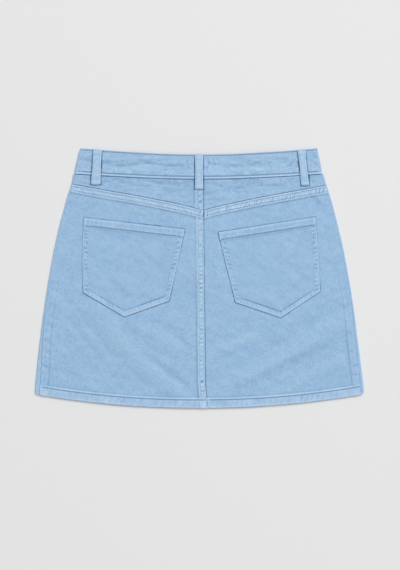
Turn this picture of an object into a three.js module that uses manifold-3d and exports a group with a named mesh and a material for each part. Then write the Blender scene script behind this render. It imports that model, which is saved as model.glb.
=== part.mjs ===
// A denim mini skirt laid flat on its front, with its back up, in millimetres.
// +X is to the right seen from above, +Y towards the waist and +Z up, and the surface it lies on is z = 0.
// The wearer's left is at negative X, because the front faces down.

import * as THREE from "three";
import { mergeVertices } from "three/addons/utils/BufferGeometryUtils.js";
import Module from "manifold-3d";

const { clamp, lerp, smoothstep } = THREE.MathUtils;
const wasm = await Module();
wasm.setup();

// Cloth thicknesses
const CLOTH = 1.1;
const BAND = 2.0;
const LOOP = 1.8;
const LOOP_END = 2.4;
const FRONT_LOOP = 1.6;

// Clearances between pieces
const SEAM_GAP = 0.3;
const LAYER_GAP = 0.3;
const LAP_GAP = 0.45;
const POCKET_GAP = 0.45;
const WELD = 1e-4;

// Waist and hem lines: the height of the edge at the centre, its climb to the side and how round it is
const WAIST_WIDTH = 185;
const WAIST_FOLD_X = 192;
const HEM_WIDTH = 255;
const BACK_WAIST = { centre: 192.2, climb: 9.9, power: 1.65, width: WAIST_WIDTH };
const BACK_BAND_SEAM = { centre: 153.9, climb: 8.0, power: 1.65, width: WAIST_WIDTH };
const FRONT_WAIST = { centre: 178.0, climb: 24.1, power: 1.9, width: WAIST_WIDTH };
const FRONT_BAND_SEAM = { centre: 139.7, climb: 22.2, power: 1.9, width: WAIST_WIDTH };
const BACK_HEM = { centre: -202.1, climb: 22.4, power: 2.1, width: HEM_WIDTH };
const FRONT_HEM = { centre: -197.1, climb: 17.4, power: 2.1, width: HEM_WIDTH };
const HEM_CORNER = { reach: 5, rise: 4 };

// The skirt's sides below the waistband, and how far the front comes round each side to its seam on the back
const SIDES = [
  { y: 163, left: -195.4, right: 192.4, wrapLeft: 2.4, wrapRight: 2.4 },
  { y: 149, left: -197.9, right: 195.9, wrapLeft: 2.4, wrapRight: 2.4 },
  { y: 130, left: -204.2, right: 202.1, wrapLeft: 2.4, wrapRight: 2.4 },
  { y: 109, left: -210.0, right: 208.2, wrapLeft: 2.4, wrapRight: 2.4 },
  { y: 81, left: -217.5, right: 215.3, wrapLeft: 2.4, wrapRight: 2.4 },
  { y: 44, left: -225.7, right: 223.7, wrapLeft: 2.4, wrapRight: 2.4 },
  { y: -3, left: -234.2, right: 232.5, wrapLeft: 2.4, wrapRight: 2.4 },
  { y: -49, left: -241.3, right: 239.8, wrapLeft: 2.6, wrapRight: 2.8 },
  { y: -96, left: -247.4, right: 245.8, wrapLeft: 3.8, wrapRight: 4.2 },
  { y: -142, left: -252.3, right: 251.7, wrapLeft: 6.5, wrapRight: 4.8 },
  { y: -173, left: -255.1, right: 255.1, wrapLeft: 7.4, wrapRight: 4.9 },
  { y: -203, left: -256.4, right: 256.4, wrapLeft: 7.6, wrapRight: 5.0 },
];
const BAND_SIDES = [
  { y: 203, left: -185.2, right: 182.7 },
  { y: 160, left: -195.2, right: 191.5 },
];

// The centre back seam, from the waist to the hem
const CENTRE_SEAM = [
  { y: 160, x: 6.4 },
  { y: 98, x: 6.5 },
  { y: -80, x: 8.4 },
  { y: -165, x: 9.5 },
  { y: -203, x: 13.6 },
];

// The seam between the yoke and the panels, from the left side to the right
const YOKE_SEAM = [
  { x: -205, y: 148.3 },
  { x: -160, y: 139.7 },
  { x: -98, y: 128.9 },
  { x: -50, y: 119.3 },
  { x: -24, y: 113.6 },
  { x: 0, y: 107.5 },
  { x: 7, y: 105.9 },
  { x: 12, y: 107.6 },
  { x: 26, y: 111.4 },
  { x: 55, y: 117.9 },
  { x: 97, y: 126.6 },
  { x: 137, y: 134.0 },
  { x: 205, y: 146.8 },
];

// Raised strips of folded cloth on the back: width and extra thickness, with sloping shoulders
const CENTRE_STRIP = { width: 11.2, yokeWidth: 13.3, height: 0.8 };
const YOKE_STRIP = { width: 12.6, height: 0.8 };
const BACK_HEM_FOLD = { width: 15.2, height: 0.9 };
const FRONT_HEM_FOLD = { width: 15.2, height: 0.6 };
const SIDE_RIDGE = { width: 11.0, height: 0.5 };
const SHOULDER = 1.4;
const DITCH = 0.9;

// The side fold of the skirt: its outer radius on the panels and at the waist seam, and on the waistband
const FOLD_RADIUS = 1.75;
const WAIST_FOLD_RADIUS = 2.125;
const BAND_FOLD_RADIUS = 2.35;
const WAIST_EASE = 28;
const TURN_STEPS = 6;

// Where the walls have their stations, closest where the front is lifted
const PLAN_PASSES = 8;
const PANEL_ROWS = 13;
const LEFT_PANEL_COLUMNS = 12;
const RIGHT_PANEL_COLUMNS = 14;
const YOKE_ROWS = 5;
const LEFT_YOKE_COLUMNS = 10;
const RIGHT_YOKE_COLUMNS = 12;
const POCKET_STEPS = 8;
const POINT_CLEARANCE = 0.07;
const FRONT_ROWS = 12;
const FRONT_ROWS_BELOW_BAND = [13, 28, 43, 58];
const FRONT_COLUMNS = [12, 26, 42, 56, 70, 84, 100, 114, 136, 160, 178];
const BAND_FRONT_COLUMNS = [44, 60, 70, 84, 100, 114, 136, 160, 178];
const BAND_LAP_COLUMNS = [12, 0, -12, -24];
const BAND_RAMP_COLUMNS = [30, 19];
const BAND_BACK_HALF = 175;
const BAND_BACK_STEPS = 24;
const BAND_ROWS = 4;

// The closing at the centre front
const BUTTON = { x: 0, y: 159, radius: 8.5, height: 2.0, stem: 1.5, dish: 0.5 };
const BUTTON_RIM = { bevel: 0.6, inner: 2, dishEdge: 3 };
const BUTTON_SIDES = 28;
const SLIT_SEGMENTS = 5;
const BUTTONHOLE = { from: -3, to: 9, width: 3.8 };
const BUTTON_BUMP = { height: 2.4, flat: 12, reach: 42 };
const LAP = { outerEnd: 16, flat: 19, reach: 44 };
const FLY = { outerEdge: 8, innerEdge: -4, flat: 11, reach: 30, bottom: 15, blend: 20 };
const FLY_STEP = { from: -28, to: -7 };
const CENTRE_BUMP = { x: -2, height: 2.8, flat: 30, reach: 62, below: 46 };
const ZIP = { left: -20, right: 10, top: 112, bottom: 24, tape: 0.8, rampFrom: -11, rampTo: -4.6 };
const ZIP_STEPS = 6;
const CHAIN = { x: -8.6, halfWidth: 2.8, height: 0.7 };
const SLIDER = { width: 7.5, length: 10, pullWidth: 5, pullLength: 13, height: 2.0, corner: 1.5 };

// Belt loops: the top and foot of each centre line, and the width there
const BACK_LOOPS = [
  { side: "left", topX: -158.1, footX: -160.9, footY: 145.7, topWidth: 13.3, footWidth: 15.0 },
  { side: "centre", topX: -0.9, footX: -0.6, footY: 138.3, topWidth: 12.4, footWidth: 13.0 },
  { side: "right", topX: 158.0, footX: 163.8, footY: 144.3, topWidth: 11.8, footWidth: 12.4 },
];
const LOOP_ARCH = 1.4;
const LOOP_DOME = 0.3;
const LOOP_TURN = 7;
const LOOP_EDGE = 1.2;
const LOOP_ROUNDING = 0.5;
const LOOP_INSET = 0.4;
const LOOP_DROP = 5;
const LOOP_STEPS = 8;
const LOOP_COLUMNS = [0, 0.14, 0.5, 0.86, 1];
const FRONT_LOOPS = { x: 92, width: 13, length: 10, inset: 1 };

// How the cloth over the front loops is held up: the front closely, and the back in a longer slope
const LOOP_LIFT = { height: 1.9, below: 12, flat: 8 };
const FRONT_SLOPE = { reach: 22, fade: 14 };
const BACK_SLOPE = { reach: 46, fade: 40 };

// Patch pockets: corners of each, and how far the outer side bows out
const POCKETS = [
  {
    name: "back_pocket_left",
    topLeft: { x: -179.3, y: 94.6 },
    topRight: { x: -23.1, y: 76.6 },
    bottomRight: { x: -47.3, y: -34.7 },
    point: { x: -116.4, y: -59.2 },
    bottomLeft: { x: -180.3, y: -21.5 },
    bowLeft: -1.9,
    bowRight: 0.6,
  },
  {
    name: "back_pocket_right",
    topLeft: { x: 29.3, y: 71.9 },
    topRight: { x: 179.5, y: 95.6 },
    bottomRight: { x: 187.1, y: -20.0 },
    point: { x: 125.9, y: -60.5 },
    bottomLeft: { x: 55.9, y: -36.9 },
    bowLeft: -0.6,
    bowRight: 1.2,
  },
];
const POCKET_HEM = { width: 13.4, height: 0.6 };
const POCKET_TURN = { width: 8.5, height: 0.35 };

// Folds of the back as it lies: a crest or trough through three points, its half width, and its height
const DRAPE = [
  { from: [-162, -38], via: [-111, -103], to: [-22, -182], half: 26, height: 1.5 },
  { from: [-226, -22], via: [-185, -80], to: [-142, -138], half: 18, height: 0.8 },
  { from: [-100, -70], via: [-53, -92], to: [-8, -130], half: 17, height: 0.6 },
  { from: [222, -60], via: [143, -111], to: [24, -172], half: 26, height: 1.5 },
  { from: [97, -84], via: [55, -98], to: [16, -116], half: 16, height: 0.6 },
  { from: [238, -116], via: [187, -140], to: [117, -178], half: 17, height: 0.6 },
  { from: [-205, -52], via: [-168, -104], to: [-134, -146], half: 14, height: -0.6 },
  { from: [-92, -112], via: [-49, -143], to: [-2, -184], half: 15, height: -0.4 },
  { from: [204, -98], via: [140, -132], to: [62, -168], half: 15, height: -0.5 },
  { from: [164, 136], via: [182, 120], to: [200, 98], half: 14, height: -0.4 },
  { from: [-200, 118], via: [-178, 110], to: [-150, 104], half: 16, height: -0.3 },
];
const FOLD_SAMPLES = 16;
const FOLD_FADE = 0.12;

// Colours read from the cloth and fittings
const DENIM = new THREE.MeshStandardMaterial({ color: "#9abad9", roughness: 0.9, metalness: 0 });
const PALE_DENIM = new THREE.MeshStandardMaterial({ color: "#a3c1e0", roughness: 0.9, metalness: 0 });
const ZIP_TAPE = new THREE.MeshStandardMaterial({ color: "#8ea6c0", roughness: 0.8, metalness: 0 });
const STEEL = new THREE.MeshStandardMaterial({ color: "#b9bcc0", roughness: 0.35, metalness: 1 });

// 1 out to a flat distance, falling smoothly to 0 at the reach
function plateau(distance, flat, reach) {
  return 1 - smoothstep(Math.abs(distance), flat, reach);
}

// The height of a waist or hem line at x
function edge(line, x) {
  return line.centre + line.climb * Math.min(Math.abs(x) / line.width, 1) ** line.power;
}

// The value of one column of a table at a place along another, on a smooth curve through its rows
function alongTable(rows, key, column, at) {
  const order = Math.sign(rows[1][key] - rows[0][key]);
  let i = rows.findIndex((row) => order * (row[key] - at) > 0) - 1;
  i = i === -2 ? rows.length - 2 : Math.max(i, 0);
  const slope = (a, b) => (rows[b][column] - rows[a][column]) / (rows[b][key] - rows[a][key]);
  const tangent = (k) => slope(Math.max(k - 1, 0), Math.min(k + 1, rows.length - 1));
  const span = rows[i + 1][key] - rows[i][key];
  const t = (at - rows[i][key]) / span;
  const bend = t * (1 - t) * span;
  const chord = lerp(rows[i][column], rows[i + 1][column], t);
  const lean = slope(i, i + 1);
  return chord + bend * ((1 - t) * (tangent(i) - lean) - t * (tangent(i + 1) - lean));
}

const leftSide = (y) => alongTable(SIDES, "y", "left", y);
const rightSide = (y) => alongTable(SIDES, "y", "right", y);
const leftDitch = (y) => leftSide(y) + alongTable(SIDES, "y", "wrapLeft", y);
const rightDitch = (y) => rightSide(y) - alongTable(SIDES, "y", "wrapRight", y);
const centreSeam = (y) => alongTable(CENTRE_SEAM, "y", "x", y);
const yokeSeam = (x) => alongTable(YOKE_SEAM, "x", "y", x);

// The back hem, rounded off at the skirt's two bottom corners
function backHem(x) {
  const y = edge(BACK_HEM, x);
  const inFromSide = Math.min(x - leftSide(y), rightSide(y) - x);
  const corner = Math.max(0, 1 - inFromSide / HEM_CORNER.reach);
  return y + HEM_CORNER.rise * corner ** 2;
}

// Heights above the surface

// How far the cloth is held off the surface by the button and the front loops beneath it
function lift(x, y, slope) {
  const toButton = Math.hypot(x - BUTTON.x, y - BUTTON.y);
  const button = BUTTON_BUMP.height * plateau(toButton, BUTTON_BUMP.flat, BUTTON_BUMP.reach);
  const loopEnd = edge(FRONT_BAND_SEAM, FRONT_LOOPS.x) - LOOP_LIFT.below;
  const above = smoothstep(y, loopEnd - slope.fade, loopEnd);
  const aside = plateau(Math.abs(x) - FRONT_LOOPS.x, LOOP_LIFT.flat, slope.reach);
  return Math.max(button, LOOP_LIFT.height * above * aside);
}

const frontLift = (x, y) => lift(x, y, FRONT_SLOPE);
const backLift = (x, y) => lift(x, y, BACK_SLOPE);

// The rise over the zip and the lapped ends at the centre front
function centreRise(x, y) {
  const across = plateau(x - CENTRE_BUMP.x, CENTRE_BUMP.flat, CENTRE_BUMP.reach);
  return CENTRE_BUMP.height * across * smoothstep(y, FLY.bottom - CENTRE_BUMP.below, FLY.bottom);
}

// Points along a fold's curve, worked out once for each row of the table
const FOLDS = DRAPE.map((fold) => {
  const ends = [fold.from, fold.via, fold.to].map(([x, y]) => new THREE.Vector2(x, y));
  const control = ends[1].clone().multiplyScalar(2).sub(ends[0].clone().add(ends[2]).multiplyScalar(0.5));
  const curve = new THREE.QuadraticBezierCurve(ends[0], control, ends[2]);
  return { ...fold, points: curve.getPoints(FOLD_SAMPLES) };
});

// The height that the folds add at a place, each fading out at its two ends
function drape(x, y) {
  let total = 0;
  for (const { points, half, height } of FOLDS) {
    let nearest = half;
    let along = 0;
    for (let k = 0; k < FOLD_SAMPLES; k++) {
      const [from, to] = [points[k], points[k + 1]];
      const [stepX, stepY] = [to.x - from.x, to.y - from.y];
      const length = stepX ** 2 + stepY ** 2;
      const share = clamp(((x - from.x) * stepX + (y - from.y) * stepY) / length, 0, 1);
      const distance = Math.hypot(from.x + share * stepX - x, from.y + share * stepY - y);
      if (distance >= nearest) continue;
      nearest = distance;
      along = (k + share) / FOLD_SAMPLES;
    }
    const fade = Math.sin(Math.PI * lerp(FOLD_FADE, 1 - FOLD_FADE, along));
    total += height * fade * Math.cos((Math.PI / 2) * (nearest / half)) ** 2;
  }
  return total;
}

function foldRadius(y) {
  const seam = BACK_BAND_SEAM.centre + BACK_BAND_SEAM.climb;
  return lerp(FOLD_RADIUS, WAIST_FOLD_RADIUS, smoothstep(y, seam - WAIST_EASE, seam));
}

// How near a place on the back is to the waist seam, from 0 to 1
function nearWaist(x, y) {
  const seam = edge(BACK_BAND_SEAM, x);
  return smoothstep(y, seam - WAIST_EASE, seam);
}

// The inner face of the back panels and yokes
function backInner(x, y) {
  const radius = lerp(FOLD_RADIUS, WAIST_FOLD_RADIUS, nearWaist(x, y));
  return 2 * radius - CLOTH + backLift(x, y) + centreRise(x, y) + drape(x, y);
}

// The inner face of the waistband where it runs across the back
function bandInner(x, y) {
  return 2 * BAND_FOLD_RADIUS - BAND + backLift(x, y) + centreRise(x, y);
}

// A strip's extra thickness at a distance in from its edge: a ditch, a flat top and a sloping shoulder
function strip(distance, width, height) {
  if (distance > width + SHOULDER) return 0;
  return height * smoothstep(distance, 0, DITCH) * (1 - smoothstep(distance, width, width + SHOULDER));
}

// The outer face of the back panels, with the raised strips along their edges
function panelOuter(x, y) {
  const reliefs = [
    strip(yokeSeam(x) - y, YOKE_STRIP.width, YOKE_STRIP.height),
    strip(y - backHem(x), BACK_HEM_FOLD.width, BACK_HEM_FOLD.height),
    strip(Math.min(x - leftDitch(y), rightDitch(y) - x), SIDE_RIDGE.width, SIDE_RIDGE.height),
  ];
  if (x < centreSeam(y)) reliefs.push(strip(centreSeam(y) - x, CENTRE_STRIP.width, CENTRE_STRIP.height));
  return backInner(x, y) + CLOTH + Math.max(...reliefs);
}

// The outer face of the yokes, with the strip that covers the centre seam
function yokeOuter(x, y) {
  const reliefs = [
    strip(Math.min(x - leftDitch(y), rightDitch(y) - x), SIDE_RIDGE.width, SIDE_RIDGE.height),
  ];
  if (x < centreSeam(y)) reliefs.push(strip(centreSeam(y) - x, CENTRE_STRIP.yokeWidth, CENTRE_STRIP.height));
  return backInner(x, y) + CLOTH + Math.max(...reliefs);
}

// Building walls

// Stations across a piece: given distances in from each edge, and even steps between them
function stations(near, steps, far) {
  const first = near.at(-1) ?? 0;
  const last = far.at(-1) ?? 0;
  const list = [0, ...near].map((offset) => ({ share: 0, offset }));
  for (let k = 1; k < steps; k++) {
    const share = k / steps;
    list.push({ share, offset: first - share * (first + last) });
  }
  for (const offset of [...far].reverse()) list.push({ share: 1, offset: -offset });
  list.push({ share: 1, offset: 0 });
  return list;
}

// A closed wall between two faces given as rows of points at the same stations
function wall(name, outer, inner, material) {
  const rows = outer.length;
  const columns = outer[0].length;
  const vertices = [...outer.flat(), ...inner.flat()];
  const at = (face, j, i) => face * rows * columns + j * columns + i;
  const triangles = [];
  const quad = (a, b, c, d) => triangles.push(a, b, c, a, c, d);
  for (let j = 0; j < rows - 1; j++) {
    for (let i = 0; i < columns - 1; i++) {
      quad(at(0, j, i), at(0, j, i + 1), at(0, j + 1, i + 1), at(0, j + 1, i));
      quad(at(1, j, i), at(1, j + 1, i), at(1, j + 1, i + 1), at(1, j, i + 1));
    }
  }
  for (let i = 0; i < columns - 1; i++) {
    quad(at(0, 0, i), at(1, 0, i), at(1, 0, i + 1), at(0, 0, i + 1));
    quad(at(0, rows - 1, i), at(0, rows - 1, i + 1), at(1, rows - 1, i + 1), at(1, rows - 1, i));
  }
  for (let j = 0; j < rows - 1; j++) {
    quad(at(0, j, 0), at(0, j + 1, 0), at(1, j + 1, 0), at(1, j, 0));
    quad(at(0, j, columns - 1), at(1, j, columns - 1), at(1, j + 1, columns - 1), at(0, j + 1, columns - 1));
  }
  const volume = triangles.reduce((sum, _, k) => {
    if (k % 3) return sum;
    const [a, b, c] = [0, 1, 2].map((n) => vertices[triangles[k + n]]);
    return sum + a.dot(new THREE.Vector3().crossVectors(b, c));
  }, 0);
  if (volume < 0) triangles.reverse();
  const geometry = new THREE.BufferGeometry().setFromPoints(vertices).setIndex(triangles);
  geometry.computeVertexNormals();
  const mesh = new THREE.Mesh(geometry, material);
  mesh.name = name;
  return mesh;
}

// A piece of the back between four edges, with its faces given as heights over the plan
function sheet(name, { left, right, bottom, top, columns, rows, inner, outer, material }) {
  const place = (row, column) => {
    let x = lerp(left(0), right(0), column.share);
    let y = 0;
    for (let pass = 0; pass < PLAN_PASSES; pass++) {
      y = lerp(bottom(x), top(x), row.share) + row.offset;
      x = lerp(left(y), right(y), column.share) + column.offset;
    }
    return [x, y];
  };
  const plan = rows.map((row) => columns.map((column) => place(row, column)));
  const face = (height) => plan.map((line) => line.map(([x, y]) => new THREE.Vector3(x, y, height(x, y))));
  return wall(name, face(outer), face(inner), material);
}

// Back panels and yokes
function backPanels() {
  const bottom = backHem;
  const top = (x) => yokeSeam(x) - SEAM_GAP / 2;
  const rows = stations([DITCH, BACK_HEM_FOLD.width, BACK_HEM_FOLD.width + SHOULDER], PANEL_ROWS, [
    DITCH,
    YOKE_STRIP.width,
    YOKE_STRIP.width + SHOULDER,
  ]);
  const sideStations = [DITCH, SIDE_RIDGE.width, SIDE_RIDGE.width + SHOULDER];
  const stripStations = [DITCH, CENTRE_STRIP.width, CENTRE_STRIP.width + SHOULDER];
  const shared = { bottom, top, rows, inner: backInner, outer: panelOuter, material: DENIM };
  const left = sheet("back_panel_left", {
    ...shared,
    left: (y) => leftDitch(y) + SEAM_GAP / 2,
    right: (y) => centreSeam(y) - SEAM_GAP / 2,
    columns: stations(sideStations, LEFT_PANEL_COLUMNS, stripStations),
  });
  const right = sheet("back_panel_right", {
    ...shared,
    left: (y) => centreSeam(y) + SEAM_GAP / 2,
    right: (y) => rightDitch(y) - SEAM_GAP / 2,
    columns: stations([], RIGHT_PANEL_COLUMNS, sideStations),
  });
  return [left, right];
}

function backYokes() {
  const bottom = (x) => yokeSeam(x) + SEAM_GAP / 2;
  const top = (x) => edge(BACK_BAND_SEAM, x) - SEAM_GAP / 2;
  const sideStations = [DITCH, SIDE_RIDGE.width];
  const stripStations = [DITCH, CENTRE_STRIP.yokeWidth, CENTRE_STRIP.yokeWidth + SHOULDER];
  const rows = stations([], YOKE_ROWS, []);
  const shared = { bottom, top, rows, inner: backInner, outer: yokeOuter, material: DENIM };
  const left = sheet("back_yoke_left", {
    ...shared,
    left: (y) => leftDitch(y) + SEAM_GAP / 2,
    right: (y) => centreSeam(y) - SEAM_GAP / 2,
    columns: stations(sideStations, LEFT_YOKE_COLUMNS, stripStations),
  });
  const right = sheet("back_yoke_right", {
    ...shared,
    left: (y) => centreSeam(y) + SEAM_GAP / 2,
    right: (y) => rightDitch(y) - SEAM_GAP / 2,
    columns: stations([], RIGHT_YOKE_COLUMNS, sideStations),
  });
  return [left, right];
}

// A patch pocket lying on its panel
function backPocket(pocket) {
  const { topLeft, topRight, bottomLeft, bottomRight, point } = pocket;
  const onLine = (a, b, key, other, at) => lerp(a[other], b[other], (at - a[key]) / (b[key] - a[key]));
  const sideLine = (a, b, bow) => (y) => {
    const t = clamp((y - a.y) / (b.y - a.y), 0, 1);
    return lerp(a.x, b.x, t) + bow * 4 * t * (1 - t);
  };
  const left = sideLine(topLeft, bottomLeft, pocket.bowLeft);
  const right = sideLine(topRight, bottomRight, pocket.bowRight);
  const top = (x) => onLine(topLeft, topRight, "x", "y", x);
  const bottom = (x) => Math.max(
    onLine(bottomLeft, point, "x", "y", x),
    onLine(point, bottomRight, "x", "y", x),
  );
  const pointShare = (point.x - bottomLeft.x) / (bottomRight.x - bottomLeft.x);
  const columns = stations([DITCH, POCKET_TURN.width], POCKET_STEPS, [DITCH, POCKET_TURN.width])
    .filter(({ share }) => share % 1 === 0 || Math.abs(share - pointShare) > POINT_CLEARANCE)
    .concat({ share: pointShare, offset: 0 })
    .sort((a, b) => a.share - b.share || a.offset - b.offset);
  const rows = stations([DITCH, POCKET_TURN.width, POCKET_TURN.width + SHOULDER], POCKET_STEPS, [
    DITCH,
    POCKET_HEM.width,
    POCKET_HEM.width + SHOULDER,
  ]);
  const inner = (x, y) => panelOuter(x, y) + POCKET_GAP;
  const outer = (x, y) => {
    const inFromSide = Math.min(x - left(y), right(y) - x, y - bottom(x));
    const turn = strip(inFromSide, POCKET_TURN.width, POCKET_TURN.height);
    const hem = plateau(top(x) - y, POCKET_HEM.width, POCKET_HEM.width + SHOULDER);
    return inner(x, y) + CLOTH + Math.max(turn, POCKET_HEM.height * hem);
  };
  return sheet(pocket.name, { left, right, bottom, top, columns, rows, inner, outer, material: PALE_DENIM });
}

// The half turn of a side fold, from the underside to the top, as directions in the plane across the skirt
function sideTurn(side) {
  const angles = [];
  for (let k = 1; k < TURN_STEPS; k++) angles.push((Math.PI * k) / TURN_STEPS);
  return angles.map((angle) => ({ across: side * Math.sin(angle), up: -Math.cos(angle) }));
}

// A front panel: flat underneath, round the side fold, and back to the side seam on top
function frontPanel(name, side) {
  const sideX = side < 0 ? leftSide : rightSide;
  const ditchX = side < 0 ? leftDitch : rightDitch;
  const isOuter = side < 0;
  const centreEdge = (y) => {
    const inFly = smoothstep(y, FLY.bottom - FLY.blend, FLY.bottom);
    return isOuter
      ? lerp(-SEAM_GAP / 2, FLY.outerEdge, inFly)
      : lerp(SEAM_GAP / 2, FLY.innerEdge, inFly);
  };
  // Right of the fly the inner panel climbs onto the lap of the outer one
  const lapStep = (x, y) => {
    if (isOuter) return 0;
    const covered = smoothstep(y, FLY_STEP.from, FLY_STEP.to);
    return (CLOTH + LAP_GAP) * covered * (1 - smoothstep(x, FLY.flat, FLY.reach));
  };
  const edgeX = side * centreEdge(FRONT_BAND_SEAM.centre);
  const shares = [0, ...FRONT_COLUMNS.map((x) => (x - edgeX) / (WAIST_FOLD_X - edgeX)), 1];
  const hemStations = [FRONT_HEM_FOLD.width, FRONT_HEM_FOLD.width + SHOULDER];
  const rowStations = stations(hemStations, FRONT_ROWS, FRONT_ROWS_BELOW_BAND);
  const top = (x) => edge(FRONT_BAND_SEAM, x) - SEAM_GAP / 2;
  const bottom = (x) => Math.max(edge(FRONT_HEM, x), backHem(x));
  const outer = [];
  const inner = [];
  for (const row of rowStations) {
    const outerLine = [];
    const innerLine = [];
    const heightAt = (x) => lerp(bottom(x), top(x), row.share) + row.offset;
    for (const share of shares) {
      let x = share * side * WAIST_WIDTH;
      let y = heightAt(x);
      for (let pass = 0; pass < PLAN_PASSES; pass++) {
        x = lerp(centreEdge(y), sideX(y) - side * foldRadius(y), share);
        y = heightAt(x);
      }
      const low = frontLift(x, y) + lapStep(x, y);
      const hem = plateau(y - bottom(x), FRONT_HEM_FOLD.width, FRONT_HEM_FOLD.width + SHOULDER);
      const extra = share === 1 ? 0 : FRONT_HEM_FOLD.height * hem;
      outerLine.push(new THREE.Vector3(x, y, low));
      innerLine.push(new THREE.Vector3(x, y, low + CLOTH + extra));
    }
    const { x: foldX, y: foldY } = outerLine.at(-1);
    const radius = foldRadius(foldY);
    const innerRadius = radius - CLOTH;
    for (const { across, up } of sideTurn(side)) {
      const y = heightAt(foldX + across * radius);
      outerLine.push(new THREE.Vector3(foldX + across * radius, y, radius * (1 + up)));
      innerLine.push(new THREE.Vector3(foldX + across * innerRadius, y, radius + innerRadius * up));
    }
    for (const x of [foldX, ditchX(foldY) + (side * SEAM_GAP) / 2]) {
      outerLine.push(new THREE.Vector3(x, heightAt(x), 2 * radius));
      innerLine.push(new THREE.Vector3(x, heightAt(x), 2 * radius - CLOTH));
    }
    outer.push(outerLine);
    inner.push(innerLine);
  }
  return wall(name, outer, inner, DENIM);
}

// The waistband: from its outer end at the centre front, round by the left and the back to its inner end
function waistband() {
  const backColumns = stations([], BAND_BACK_STEPS, []);
  const lapStep = (x) => (BAND + LAP_GAP) * (1 - smoothstep(x, LAP.flat, LAP.reach));
  const outer = [];
  const inner = [];
  for (const { share } of stations([], BAND_ROWS, [])) {
    const frontY = (x) => lerp(edge(FRONT_BAND_SEAM, x) + SEAM_GAP / 2, edge(FRONT_WAIST, x), share);
    const backY = (x) => lerp(edge(BACK_BAND_SEAM, x) + SEAM_GAP / 2, edge(BACK_WAIST, x), share);
    const outerLine = [];
    const innerLine = [];
    const add = (x, y, outerZ, innerZ) => {
      outerLine.push(new THREE.Vector3(x, y, outerZ));
      innerLine.push(new THREE.Vector3(x, y, innerZ));
    };
    const front = (x, step) => {
      const low = frontLift(x, frontY(x)) + step;
      add(x, frontY(x), low, low + BAND);
    };
    const turn = (side, directions) => {
      const y = backY(side * WAIST_WIDTH);
      const sideX = alongTable(BAND_SIDES, "y", side < 0 ? "left" : "right", y);
      const foldX = sideX - side * BAND_FOLD_RADIUS;
      const innerRadius = BAND_FOLD_RADIUS - BAND;
      for (const { across, up } of directions) {
        const outerX = foldX + across * BAND_FOLD_RADIUS;
        const innerX = foldX + across * innerRadius;
        outerLine.push(new THREE.Vector3(outerX, y, BAND_FOLD_RADIUS * (1 + up)));
        innerLine.push(new THREE.Vector3(innerX, y, BAND_FOLD_RADIUS + innerRadius * up));
      }
    };
    const ends = [{ across: 0, up: -1 }, { across: 0, up: 1 }];
    for (const x of [LAP.outerEnd, ...BAND_LAP_COLUMNS]) front(x, 0);
    for (const x of BAND_FRONT_COLUMNS) front(-x, 0);
    turn(-1, [ends[0], ...sideTurn(-1), ends[1]]);
    for (const column of backColumns) {
      const x = lerp(-BAND_BACK_HALF, BAND_BACK_HALF, column.share);
      const y = backY(x);
      add(x, y, bandInner(x, y) + BAND, bandInner(x, y));
    }
    turn(1, [ends[1], ...sideTurn(1).reverse(), ends[0]]);
    for (const x of [...BAND_FRONT_COLUMNS].reverse()) front(x, lapStep(x));
    for (const x of [...BAND_RAMP_COLUMNS, ...BAND_LAP_COLUMNS]) front(x, lapStep(x));
    outer.push(outerLine);
    inner.push(innerLine);
  }
  const band = wall("waistband", outer, inner, DENIM);
  return cutButtonhole(band);
}

// The waistband as one body, so that its buttonhole can be cut
function solidOf(geometry) {
  const bare = new THREE.BufferGeometry().setAttribute("position", geometry.getAttribute("position"));
  if (geometry.index) bare.setIndex(geometry.index);
  const merged = mergeVertices(bare, WELD);
  return new wasm.Manifold(
    new wasm.Mesh({
      numProp: 3,
      vertProperties: new Float32Array(merged.attributes.position.array),
      triVerts: new Uint32Array(merged.index.array),
    }),
  );
}

function geometryOf(solid) {
  const { vertProperties, triVerts } = solid.getMesh();
  const geometry = new THREE.BufferGeometry();
  geometry.setAttribute("position", new THREE.BufferAttribute(vertProperties, 3));
  geometry.setIndex(new THREE.BufferAttribute(triVerts, 1));
  geometry.computeVertexNormals();
  return geometry;
}

// The slit that the button's stem passes through, in the outer end alone
function cutButtonhole(band) {
  const { from, to, width } = BUTTONHOLE;
  const half = width / 2;
  const outline = new THREE.Shape();
  outline.absarc(to - half, BUTTON.y, half, -Math.PI / 2, Math.PI / 2);
  outline.absarc(from + half, BUTTON.y, half, Math.PI / 2, (3 * Math.PI) / 2);
  outline.closePath();
  const depth = BUTTON_BUMP.height + BAND + LAP_GAP / 2;
  const settings = { depth, bevelEnabled: false, curveSegments: SLIT_SEGMENTS };
  const slit = new THREE.ExtrudeGeometry(outline, settings);
  band.geometry = geometryOf(solidOf(band.geometry).subtract(solidOf(slit)));
  return band;
}

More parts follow.
